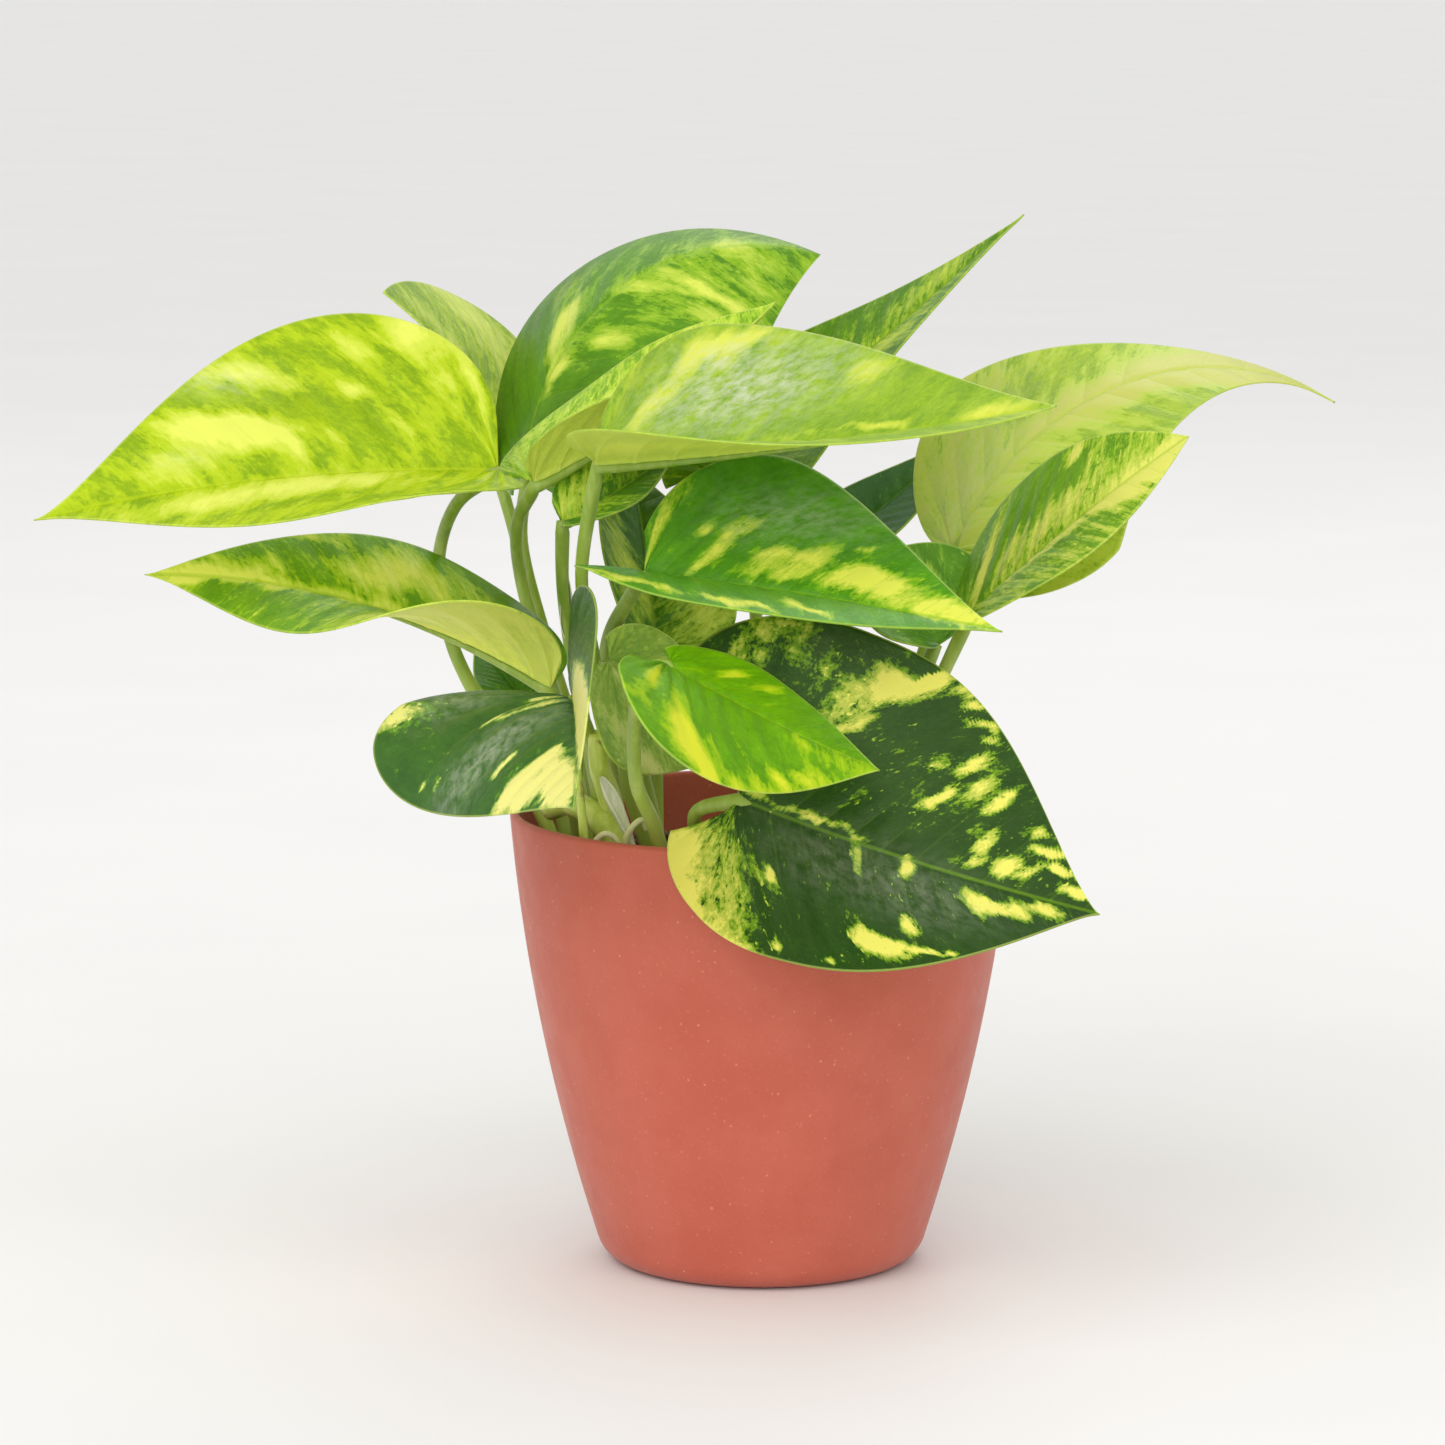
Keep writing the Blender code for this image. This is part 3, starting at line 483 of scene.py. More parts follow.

# %% [markdown]
# ## Blades: the numbers
# Every leaf follows one rule, with its own numbers. *attach* is where the stalk meets the blade,
# *heading*, *pitch* and *roll* aim it, *droop*, *sway* and *twist* bend it from base to tip, and
# *fold* and *curl* shape its two halves. They are the sizes of the solids, in mm and degrees.
#
# The colours follow the veins. A point on a blade has two measures, as shares of the leaf's length:
# how far up the midrib its side vein starts, and how far out along that vein it lies, negative on the
# left half. In the lobes behind the stalk the veins fan out, and the first measure is negative. Each
# entry of *pale* is a splash: middle along the midrib, middle out, half its width, half its length
# along the vein, and strength. Negative strength keeps an area green. *deep* darkens in the same way.
# A third list on some leaves marks a painted sheen in the same way: a pale grey-green veil mixed into
# the colour where a bright window reflects on the wax.

# %% Numbers of the nineteen leaves
LEAVES = {
    "upper_left": dict(
        attach=(-62, -10, 191), heading=190, pitch=3, roll=37, length=110,
        left=39, right=42, lobe=(0.04, 0.0), root=0.28, widest=0.28, full=1.9, point=1.55,
        fold_left=(25, 9), fold_right=(25, 16), curl=(26, -8), droop=15, sway=9, twist=3,
        tones=((144, 173, 12), (176, 197, 22), (218, 224, 98)), base=-0.1, streak=0.5, grit=0.25, wave=0.5,
        pale=((0.42, 0.13, 0.05, 0.035, 1.1), (0.5, 0.14, 0.05, 0.045, 1.1), (0.57, 0.15, 0.04, 0.03, 0.5),
              (0.35, 0.29, 0.05, 0.03, 0.7), (0.28, 0.25, 0.03, 0.02, 0.5), (0.17, 0.215, 0.02, 0.02, 0.6),
              (0.08, 0.34, 0.02, 0.03, 0.6), (-0.05, 0.37, 0.03, 0.05, 0.8), (-0.105, 0.23, 0.015, 0.08, 0.6),
              (-0.02, 0.24, 0.025, 0.06, 0.35), (0.39, 0.07, 0.015, 0.04, 0.7), (0.29, 0.08, 0.012, 0.03, 0.5),
              (0.14, 0.14, 0.01, 0.05, 0.5), (0.66, 0.07, 0.05, 0.03, 0.4), (0.4, -0.07, 0.2, 0.05, 0.75),
              (0.62, -0.08, 0.08, 0.03, 0.4), (0.45, 0.24, 0.06, 0.04, -0.3), (0.3, 0.16, 0.12, 0.05, -0.2),
              (0.45, 0.05, 0.05, 0.03, -0.2)),
        painted_sheen=((0.4, 0.28, 0.07, 0.04, 0.5), (0.62, 0.08, 0.05, 0.02, 0.3)),
        deep=((0.3, 0.18, 0.15, 0.06, 0.12),)),
    "mid_left": dict(
        attach=(-49.5, -19, 141), heading=171, pitch=31, roll=23, length=100,
        left=30, right=26, lobe=(0.0, 0.0), root=0.24, widest=0.32, full=2.0, point=1.45,
        fold_left=(72, -24), fold_right=(13, 13), curl=(7, -26), droop=31, sway=17, twist=16,
        tones=((112, 160, 26), (166, 196, 36), (222, 228, 104)), base=-0.2, streak=1.0, wave=1.2, grit=0.5,
        pale=((0.45, 0.09, 0.06, 0.04, 0.65), (0.38, 0.13, 0.05, 0.04, 0.65), (0.33, 0.18, 0.04, 0.04, 0.65),
              (0.26, 0.15, 0.04, 0.05, 0.65), (0.15, 0.17, 0.04, 0.05, 0.5), (0.52, 0.2, 0.05, 0.015, 0.5),
              (0.66, 0.07, 0.015, 0.03, 0.5), (0.6, 0.0, 0.4, 0.016, 0.7), (0.85, 0.02, 0.12, 0.03, 0.8),
              (0.0, 0.2, 0.08, 0.12, -0.9), (0.14, -0.22, 0.16, 0.12, 1.0), (0.02, -0.12, 0.08, 0.06, -0.6)),
        deep=((0.0, 0.2, 0.1, 0.14, 0.7),)),
    "low_left": dict(
        attach=(-44, -40, 141.5), heading=274, pitch=0, roll=-14, length=73,
        left=29, right=47, lobe=(0.09, 0.12), root=0.3, widest=0.3, full=2.1, point=1.5,
        fold_left=(79, 46), fold_right=(18, -16), curl=(-10, -14), droop=23, sway=-5, twist=-14,
        tones=((56, 97, 42), (92, 142, 36), (230, 224, 132)), base=-0.5, streak=0.6, grit=1.0, crisp=1.3, wave=0.5,
        pale=((-0.17, 0.56, 0.035, 0.09, 1.0), (-0.19, 0.6, 0.02, 0.06, 0.5), (0.03, 0.3, 0.015, 0.03, 0.8),
              (0.06, 0.24, 0.015, 0.03, 0.8), (0.06, 0.1, 0.015, 0.1, 1.1), (0.02, 0.2, 0.008, 0.1, 0.9),
              (-0.02, 0.1, 0.02, 0.08, 1.0), (0.34, 0.28, 0.015, 0.05, 1.4), (0.52, 0.2, 0.05, 0.14, 1.8),
              (0.62, 0.12, 0.07, 0.08, 1.2), (0.74, 0.07, 0.08, 0.06, 1.5), (0.62, 0.22, 0.05, 0.06, 1.4),
              (0.58, 0.16, 0.025, 0.035, -1.0), (0.5, 0.02, 0.05, 0.03, -1.2), (0.02, 0.585, 0.012, 0.012, 1.1),
              (0.08, 0.53, 0.012, 0.02, 0.8), (0.05, 0.66, 0.012, 0.03, 1.1), (-0.05, 0.66, 0.012, 0.02, 0.7),
              (-0.1, 0.52, 0.03, 0.08, 0.3), (0.86, 0.04, 0.08, 0.06, 1.6), (0.5, -0.14, 0.3, 0.08, 2.2),
              (0.25, -0.1, 0.1, 0.06, 1.4)),
        painted_sheen=((0.2, 0.3, 0.08, 0.2, 0.7), (-0.16, 0.35, 0.06, 0.12, 0.5)),
        deep=((-0.15, -0.3, 0.3, 0.2, 0.4),)),
    "back_left": dict(
        attach=(-65.5, 80, 185), heading=198, pitch=76, roll=35, length=54,
        left=23, right=32, lobe=(0.08, 0.07), root=0.3, widest=0.31, full=2.0, point=1.0,
        fold_left=(15, 10), fold_right=(20, 5), curl=(0, -7), droop=46, sway=20, twist=-3,
        tones=((140, 170, 58), (168, 190, 74), (204, 216, 112)), base=-0.1, streak=0.7, wave=0.6,
        pale=((0.2, 0.5, 0.3, 0.1, 0.7), (0.5, 0.1, 0.2, 0.05, 0.4)), deep=()),
    "top_centre": dict(
        attach=(-57.5, 41.5, 183.5), heading=8, pitch=89, roll=-31, length=107,
        left=38, right=50, lobe=(0.05, 0.03), root=0.3, widest=0.41, full=2.1, point=1.0,
        fold_left=(-18, -21), fold_right=(5, -17), curl=(-12, -4), droop=108, sway=13, twist=1,
        tones=((88, 140, 16), (138, 176, 34), (208, 218, 88)), base=-0.2, streak=0.6, grit=0.4, wave=0.4,
        pale=((0.28, -0.1, 0.03, 0.08, 0.9), (0.33, -0.12, 0.03, 0.06, 0.9), (0.22, -0.12, 0.02, 0.1, 0.2),
              (0.25, -0.3, 0.05, 0.05, 0.5), (0.24, 0.02, 0.05, 0.02, 1.0), (0.34, 0.11, 0.025, 0.04, 0.8),
              (0.52, 0.04, 0.03, 0.04, 0.5), (0.26, 0.1, 0.02, 0.05, 0.35), (0.6, 0.12, 0.015, 0.1, 0.5),
              (0.78, 0.0, 0.03, 0.05, 0.5), (0.52, 0.25, 0.03, 0.05, 0.6), (0.6, 0.2, 0.02, 0.05, 0.5),
              (0.12, -0.2, 0.14, 0.2, -0.5), (0.1, 0.12, 0.12, 0.08, -0.4), (0.7, 0.1, 0.2, 0.15, 0.25)),
        deep=((0.05, -0.22, 0.16, 0.2, 0.4), (0.1, 0.1, 0.12, 0.08, 0.35), (0.25, -0.32, 0.1, 0.06, 0.25))),
    "centre_small": dict(
        attach=(-54, -4, 187.5), heading=16, pitch=24, roll=6, length=73,
        left=23, right=21, lobe=(0.07, 0.01), root=0.3, widest=0.32, full=2.1, point=1.2,
        fold_left=(34, 43), fold_right=(45, 23), curl=(-26, -8), droop=-21, sway=2, twist=-15,
        tones=((130, 174, 34), (168, 200, 48), (214, 224, 100)), base=-0.02, streak=0.9, wave=0.4,
        pale=((0.3, -0.16, 0.3, 0.05, 0.5), (0.7, -0.05, 0.15, 0.04, 0.5), (0.2, -0.02, 0.2, 0.02, 0.4)),
        deep=((0.1, 0.15, 0.2, 0.12, 0.4),)),
    "centre_right": dict(
        attach=(-38.5, -32, 195), heading=-27, pitch=6, roll=-34, length=111,
        left=39, right=33, lobe=(0.02, 0.0), root=0.28, widest=0.24, full=1.9, point=1.1,
        fold_left=(12, -2), fold_right=(57, 18), curl=(10, -2), droop=-5, sway=20, twist=5,
        tones=((136, 170, 38), (160, 186, 46), (208, 214, 78)), base=-0.3, streak=0.5, grit=0.3, wave=0.4,
        pale=((0.0, -0.34, 0.03, 0.05, 1.1), (0.07, -0.33, 0.03, 0.04, 0.9), (0.01, -0.17, 0.025, 0.1, 0.9),
              (0.46, -0.22, 0.04, 0.03, 0.8), (0.62, -0.03, 0.04, 0.01, 0.8), (0.85, -0.02, 0.05, 0.02, 0.7),
              (0.12, -0.36, 0.05, 0.02, 0.6), (0.5, -0.03, 0.12, 0.01, 0.4), (-0.14, -0.2, 0.03, 0.12, 0.4),
              (0.05, 0.12, 0.05, 0.05, 0.9), (0.3, 0.14, 0.2, 0.08, 0.5), (0.92, 0.0, 0.08, 0.05, 0.4)),
        painted_sheen=((0.2, -0.2, 0.16, 0.1, 1.1), (0.05, -0.3, 0.06, 0.04, 0.5)),
        deep=((-0.1, -0.25, 0.04, 0.12, 0.2),)),
    "centre_inner": dict(
        attach=(-47, -6, 178.5), heading=23, pitch=22, roll=-30, length=36,
        left=11, right=12, lobe=(0.0, 0.05), root=0.3, widest=0.3, full=1.7, point=1.35,
        fold_left=(26, 10), fold_right=(30, 10), curl=(0, 0), droop=-15, sway=3, twist=0,
        tones=((84, 134, 30), (150, 186, 44), (210, 218, 92)), base=-0.2, streak=1.2, wave=0.2,
        pale=((0.1, -0.1, 0.15, 0.15, 0.6), (0.9, 0.0, 0.1, 0.2, 0.5)),
        deep=((0.6, 0.05, 0.25, 0.3, 0.5),)),
    "back_right_pointed": dict(
        attach=(-9.5, 36, 185), heading=-5, pitch=40, roll=-31, length=97,
        left=29, right=33, lobe=(0.14, 0.07), root=0.3, widest=0.28, full=1.3, point=1.3,
        fold_left=(9, 4), fold_right=(6, 15), curl=(-2, 0), droop=-2, sway=-9, twist=6,
        tones=((80, 125, 16), (116, 153, 24), (182, 197, 64)), base=-0.15, streak=1.2, wave=0.4,
        pale=((0.5, 0.08, 0.12, 0.06, 0.6), (0.7, -0.05, 0.12, 0.04, 0.5), (-0.1, -0.25, 0.1, 0.15, 0.6)),
        deep=((0.3, 0.2, 0.2, 0.1, 0.3),)),
    "inner_dark": dict(
        attach=(-25, 14, 145), heading=100, pitch=62, roll=-18, length=58,
        left=22, right=21, lobe=(0.08, 0.08), root=0.3, widest=0.31, full=1.8, point=1.3,
        fold_left=(34, 9), fold_right=(15, 10), curl=(13, 0), droop=34, sway=0, twist=0,
        tones=((64, 112, 26), (122, 156, 36), (190, 204, 84)), base=-0.15, streak=1.2, wave=0.3,
        pale=((0.2, -0.2, 0.15, 0.15, 0.7), (0.05, 0.25, 0.15, 0.1, 0.8), (0.6, 0.2, 0.2, 0.2, -0.8)),
        deep=((0.6, 0.2, 0.3, 0.2, 0.6),)),
    "centre": dict(
        attach=(-27.5, -34, 169.5), heading=-30, pitch=-1, roll=-28, length=91,
        left=36, right=29, lobe=(0.04, 0.12), root=0.3, widest=0.28, full=1.6, point=1.3,
        fold_left=(26, 0), fold_right=(42, 11), curl=(0, -12), droop=8, sway=7, twist=-1,
        tones=((81, 146, 24), (132, 178, 30), (220, 224, 88)), base=-0.42, streak=0.8, grit=0.7, wave=0.5,
        pale=((-0.17, -0.15, 0.035, 0.16, 0.85), (0.03, -0.165, 0.015, 0.03, 0.9), (0.12, -0.08, 0.02, 0.06, 1.2),
              (0.12, -0.19, 0.03, 0.04, 0.6), (0.27, -0.12, 0.035, 0.03, 1.1), (0.36, -0.125, 0.04, 0.03, 1.1),
              (0.38, -0.18, 0.03, 0.02, 0.3), (0.455, -0.19, 0.02, 0.02, 1.0), (0.52, -0.1, 0.05, 0.04, 1.0),
              (0.6, -0.08, 0.06, 0.04, 1.0), (0.33, -0.06, 0.1, 0.025, 0.75), (0.75, -0.04, 0.1, 0.04, 0.85),
              (0.9, -0.02, 0.1, 0.04, 0.85), (0.2, 0.27, 0.05, 0.02, 1.3), (0.3, 0.235, 0.04, 0.02, 1.2),
              (0.42, 0.15, 0.03, 0.03, 1.1), (0.47, 0.165, 0.03, 0.015, 1.1), (0.0, 0.3, 0.08, 0.02, 0.9),
              (-0.1, 0.27, 0.06, 0.02, 0.9), (0.4, 0.03, 0.25, 0.02, -0.1)),
        painted_sheen=((0.2, -0.26, 0.16, 0.08, 0.55),),
        deep=((0.0, -0.36, 0.12, 0.08, 0.12),)),
    "front_bright": dict(
        attach=(-21.5, -82, 155.5), heading=-23, pitch=-26, roll=-16, length=54,
        left=17, right=33, lobe=(0.07, 0.1), root=0.3, widest=0.32, full=1.8, point=1.2,
        fold_left=(-6, -3), fold_right=(18, -26), curl=(4, -2), droop=-4, sway=12, twist=-9,
        tones=((94, 150, 3), (146, 182, 8), (205, 209, 46)), base=-0.34, streak=0.5, grit=0.4, wave=0.3,
        pale=((0.0, 0.42, 0.03, 0.12, 0.9), (0.02, 0.58, 0.045, 0.1, 1.1), (0.09, 0.58, 0.03, 0.06, 0.9),
              (-0.12, 0.22, 0.03, 0.09, 0.9), (-0.14, 0.45, 0.03, 0.06, 0.4), (0.14, 0.4, 0.02, 0.05, 0.5),
              (0.31, 0.27, 0.02, 0.06, 0.45), (0.13, -0.2, 0.03, 0.06, 0.8), (0.27, -0.22, 0.04, 0.05, 0.5),
              (0.22, 0.52, 0.05, 0.04, 0.9), (0.4, 0.42, 0.08, 0.04, 0.6), (0.5, 0.33, 0.06, 0.03, 1.0),
              (0.62, 0.25, 0.06, 0.03, 0.9), (0.7, 0.18, 0.05, 0.04, 0.6), (0.62, 0.05, 0.04, 0.03, 0.4),
              (0.85, 0.05, 0.12, 0.05, 0.4), (0.3, 0.15, 0.15, 0.08, -0.2)),
        deep=((-0.15, 0.08, 0.1, 0.08, 0.3),)),
    "right_dark_big": dict(
        attach=(-5.5, -65, 122), heading=-27, pitch=-16, roll=-64, length=87,
        left=46, right=32, lobe=(0.32, 0.16), root=0.41, widest=0.36, full=2.8, point=1.35,
        fold_left=(6, 1), fold_right=(-19, 26), curl=(3, 17), droop=-1, sway=28, twist=9,
        tones=((33, 67, 21), (108, 150, 20), (224, 218, 102)), base=-0.5, streak=0.2, grit=1.1, crisp=1.25, wave=0.4,
        pale=((-0.22, 0.2, 0.19, 0.19, 0.74), (-0.36, 0.22, 0.07, 0.05, 1.0), (-0.27, 0.29, 0.06, 0.045, 1.0),
              (-0.26, -0.36, 0.16, 0.16, 0.27), (0.42, -0.28, 0.16, 0.12, 0.25), (0.7, -0.1, 0.14, 0.08, 0.2),
              (-0.18, 0.35, 0.06, 0.04, 1.0), (-0.08, 0.41, 0.05, 0.03, 0.8), (-0.07, 0.27, 0.04, 0.1, 0.3),
              (-0.3, -0.4, 0.04, 0.04, 0.4), (-0.26, -0.47, 0.04, 0.03, 0.4), (-0.2, -0.45, 0.03, 0.05, 0.25),
              (-0.12, -0.39, 0.02, 0.04, 0.4), (-0.03, -0.4, 0.035, 0.12, 0.75), (0.035, -0.53, 0.03, 0.05, 1.7),
              (0.0, -0.5, 0.03, 0.05, 1.0), (0.02, -0.32, 0.02, 0.05, 0.9), (0.12, -0.545, 0.03, 0.03, 0.9),
              (0.18, -0.51, 0.03, 0.015, 1.2), (0.26, -0.46, 0.04, 0.013, 1.2), (0.33, -0.42, 0.03, 0.012, 0.9),
              (0.37, -0.34, 0.018, 0.03, 1.3), (0.3, -0.3, 0.025, 0.03, 0.7), (0.39, -0.2, 0.018, 0.04, 1.4),
              (0.52, -0.26, 0.018, 0.04, 1.3), (0.45, -0.27, 0.015, 0.04, 0.7), (0.68, -0.2, 0.03, 0.02, 1.1),
              (0.75, -0.145, 0.04, 0.014, 1.5), (0.83, -0.1, 0.04, 0.012, 1.5), (0.92, -0.05, 0.05, 0.015, 1.5),
              (0.6, -0.12, 0.014, 0.035, 1.2), (0.63, -0.05, 0.015, 0.03, 0.9), (0.7, -0.06, 0.022, 0.03, 1.3),
              (0.76, -0.065, 0.018, 0.025, 1.1), (0.66, 0.08, 0.04, 0.03, 1.5), (0.74, 0.075, 0.04, 0.03, 1.5),
              (0.84, 0.04, 0.05, 0.02, 1.1), (0.43, 0.21, 0.018, 0.03, 1.4), (0.29, 0.295, 0.035, 0.035, 1.6),
              (0.36, 0.3, 0.035, 0.03, 1.5), (0.44, 0.29, 0.04, 0.013, 1.2), (0.5, 0.28, 0.012, 0.012, 1.1),
              (0.16, 0.375, 0.013, 0.012, 1.2), (0.06, 0.185, 0.012, 0.025, 1.2), (0.02, 0.38, 0.01, 0.02, 1.1),
              (0.48, 0.03, 0.018, 0.025, 1.2), (0.2, -0.025, 0.14, 0.012, 0.8), (0.2, -0.03, 0.02, 0.02, 0.5),
              (0.33, 0.04, 0.012, 0.05, 0.8), (0.0, -0.07, 0.03, 0.03, 1.4), (0.22, -0.13, 0.02, 0.04, 0.35)),
        painted_sheen=((0.22, 0.08, 0.14, 0.08, 0.16), (0.5, 0.1, 0.15, 0.08, 0.24)),
        deep=((-0.15, -0.5, 0.12, 0.06, 0.4), (0.12, -0.35, 0.12, 0.14, 0.25))),
    "right_pale_big": dict(
        attach=(46.5, 29.5, 167.5), heading=7, pitch=68, roll=-22, length=118,
        left=38, right=46, lobe=(0.01, 0.07), root=0.25, widest=0.26, full=1.25, point=1.65,
        fold_left=(-14, 0), fold_right=(-9, 2), curl=(26, -9), droop=99, sway=16, twist=5,
        tones=((154, 182, 58), (178, 198, 76), (189, 191, 99)), base=0.0, streak=1.0, grit=0.4, wave=0.4,
        pale=((0.42, 0.03, 0.08, 0.05, 0.7), (0.55, 0.03, 0.1, 0.04, 0.8), (0.68, 0.0, 0.1, 0.06, 1.0),
              (0.85, 0.0, 0.12, 0.08, 1.8), (1.0, 0.0, 0.1, 0.1, 1.0), (0.05, -0.15, 0.15, 0.2, 0.3),
              (0.5, -0.06, 0.1, 0.03, 0.3), (0.62, -0.05, 0.08, 0.03, 0.4), (0.3, -0.2, 0.12, 0.1, -0.3),
              (0.5, 0.15, 0.1, 0.06, -0.4), (0.28, -0.03, 0.1, 0.03, 0.35)),
        painted_sheen=((0.1, -0.15, 0.15, 0.2, 0.35),),
        deep=((0.5, 0.15, 0.1, 0.06, 0.15),)),
    "right_striped": dict(
        attach=(47.5, -14, 156.5), heading=-16, pitch=45, roll=-26, length=69,
        left=28, right=19, lobe=(0.03, 0.01), root=0.3, widest=0.32, full=1.8, point=1.0,
        fold_left=(0, 16), fold_right=(22, -7), curl=(-2, -10), droop=10, sway=2, twist=-14,
        tones=((104, 150, 28), (152, 182, 46), (212, 212, 102)), base=-0.06, streak=1.6, grit=1.0, wave=0.4,
        pale=((0.02, -0.28, 0.03, 0.1, 0.9), (0.08, -0.1, 0.02, 0.07, -0.6), (0.03, -0.15, 0.015, 0.1, 0.7),
              (0.2, -0.12, 0.06, 0.1, 0.35), (0.35, -0.12, 0.08, 0.09, 0.4), (0.53, -0.1, 0.08, 0.08, 0.4),
              (0.45, -0.29, 0.05, 0.03, 0.9), (0.35, 0.06, 0.12, 0.015, 0.8), (0.5, 0.03, 0.1, 0.015, 0.8),
              (0.65, 0.05, 0.05, 0.04, 1.1), (0.76, 0.04, 0.08, 0.05, 1.3), (0.92, 0.02, 0.08, 0.05, 1.2),
              (0.15, -0.34, 0.14, 0.09, -0.7), (0.4, -0.23, 0.1, 0.05, -0.6), (-0.1, -0.25, 0.03, 0.1, -0.7),
              (0.3, 0.17, 0.4, 0.08, 0.1)),
        deep=()),
    "back_right_dark": dict(
        attach=(11.5, 62, 160.5), heading=19, pitch=30, roll=-21, length=52,
        left=15, right=19, lobe=(0.08, 0.08), root=0.3, widest=0.3, full=1.7, point=1.3,
        fold_left=(8, 7), fold_right=(21, 8), curl=(-9, 0), droop=-11, sway=5, twist=0,
        tones=((44, 92, 40), (92, 134, 50), (186, 198, 110)), base=-0.5, streak=0.9, wave=0.3,
        pale=((0.3, -0.05, 0.2, 0.03, 0.4),), deep=()),
    "right_small": dict(
        attach=(42, 2, 148), heading=168, pitch=56, roll=28, length=27,
        left=19, right=22, lobe=(0.0, 0.0), root=0.3, widest=0.32, full=1.9, point=1.0,
        fold_left=(31, -2), fold_right=(18, 20), curl=(-3, -1), droop=23, sway=1, twist=13,
        tones=((86, 138, 40), (124, 168, 52), (196, 208, 96)), base=-0.3, streak=0.9, wave=0.3,
        pale=((0.3, 0.4, 0.2, 0.08, 0.6),), deep=()),
    "inner_pale": dict(
        attach=(-36, -21, 147.5), heading=11, pitch=-42, roll=-57, length=38,
        left=15, right=25, lobe=(0.1, 0.1), root=0.28, widest=0.31, full=1.8, point=1.2,
        fold_left=(5, 10), fold_right=(28, -2), curl=(0, -6), droop=-10, sway=-3, twist=-8,
        tones=((138, 172, 74), (166, 192, 90), (214, 220, 140)), base=-0.15, streak=0.7, wave=0.3,
        pale=((0.3, 0.5, 0.3, 0.06, 1.0), (0.1, 0.1, 0.1, 0.1, 0.4)), deep=()),
    "back_left_small": dict(
        attach=(-58, 30, 131), heading=140, pitch=45, roll=23, length=21,
        left=10, right=14, lobe=(0.08, 0.08), root=0.3, widest=0.3, full=1.7, point=1.4,
        fold_left=(20, 10), fold_right=(24, 9), curl=(0, 3), droop=15, sway=-3, twist=-1,
        tones=((72, 124, 34), (116, 158, 44), (190, 206, 90)), base=-0.4, streak=0.9, wave=0.2,
        pale=(), deep=()),
}
print("leaves:", len(LEAVES), "from", min(leaf["length"] for leaf in LEAVES.values()), "mm long to",
      max(leaf["length"] for leaf in LEAVES.values()))

# %% [markdown]
# ## Blades: the shape
# A blade starts as a flat grid: one direction runs across the leaf and the other from base to tip.
# Each point is then carried to its place. The midrib is followed step by step, the halves are folded
# and curled about it, and a fine relief is pressed in along the surface's own normal: a channel along
# the midrib, a shallow groove on each side vein, a slight swelling between veins and a waved margin.
# The grid is closer near the midrib, where the channel needs more points. A Solidify modifier gives
# the sheet its thickness, with a second material on the underside.

# %% Follow the midrib and place a point
RIB_STEPS = 80
SIDE_VEINS = 11
VEIN_LEAN = 0.55
VEIN_BEND = 0.45
FAN_SCALE = 0.3
MIDRIB_DEPTH = 0.55
VEIN_DEPTH = 0.17
SWELL = 0.42


def frame_at(leaf, along):
    """Directions of the midrib at a share of its length: forward, to the right, and up."""
    share = max(-0.25, min(1.0, along))
    heading = radians(leaf["heading"] + leaf["sway"] * share)
    pitch = radians(leaf["pitch"] - leaf["droop"] * share)
    roll = radians(leaf["roll"] + leaf["twist"] * share)
    forward = Vector((cos(pitch) * cos(heading), cos(pitch) * sin(heading), sin(pitch)))
    level = Vector((sin(heading), -cos(heading), 0.0))
    upward = level.cross(forward)
    side = level * cos(roll) + upward * sin(roll)
    up = upward * cos(roll) - level * sin(roll)
    return forward, side, up


def midrib_points(leaf):
    points = [Vector(leaf["attach"])]
    step = leaf["length"] / RIB_STEPS
    for index in range(RIB_STEPS):
        before = frame_at(leaf, index / RIB_STEPS)[0]
        after = frame_at(leaf, (index + 1) / RIB_STEPS)[0]
        points.append(points[-1] + (before + after) * (step / 2))
    return points


def on_midrib(rib, share):
    place = max(0.0, min(1.0, share)) * RIB_STEPS
    low = min(int(place), RIB_STEPS - 1)
    return rib[low].lerp(rib[low + 1], place - low)


def half_width(share, leaf):
    """Width of a half, 0 to 1, from the hind edge to the tip."""
    widest = leaf["widest"]
    if share < widest:
        return leaf["root"] + (1 - leaf["root"]) * max(0.0, 1 - (1 - share / widest) ** 2) ** 0.5
    rest = min(1.0, (share - widest) / (1 - widest))
    return (1 - rest ** leaf["full"]) ** leaf["point"]


def vein_measures(x, y, length):
    """Where a point's side vein leaves the midrib, and how far out along it the point is, as shares
    of the leaf's length. Behind the stalk the first is negative: an angle in the fan of veins."""
    x = x / length
    y = y / length
    start = y - VEIN_LEAN * x - VEIN_BEND * x * x
    if start >= 0 or x < 0.0001:
        return start, x * (1 + VEIN_LEAN ** 2) ** 0.5
    reach = hypot(x, y)
    low, high = 0.0, pi / 2
    for _ in range(20):
        middle = (low + high) / 2
        flat_x = reach * sin(middle)
        if reach * cos(middle) > VEIN_LEAN * flat_x + VEIN_BEND * flat_x ** 2:
            low = middle
        else:
            high = middle
    return -(atan2(x, y) - low) * FAN_SCALE, reach


def bell(value, width):
    return exp(-(value / width) ** 2)


def inside_wave(along):
    """The margin waves most in the middle of the blade and not at its base or tip."""
    return sin(pi * min(1.0, max(0.0, along)))


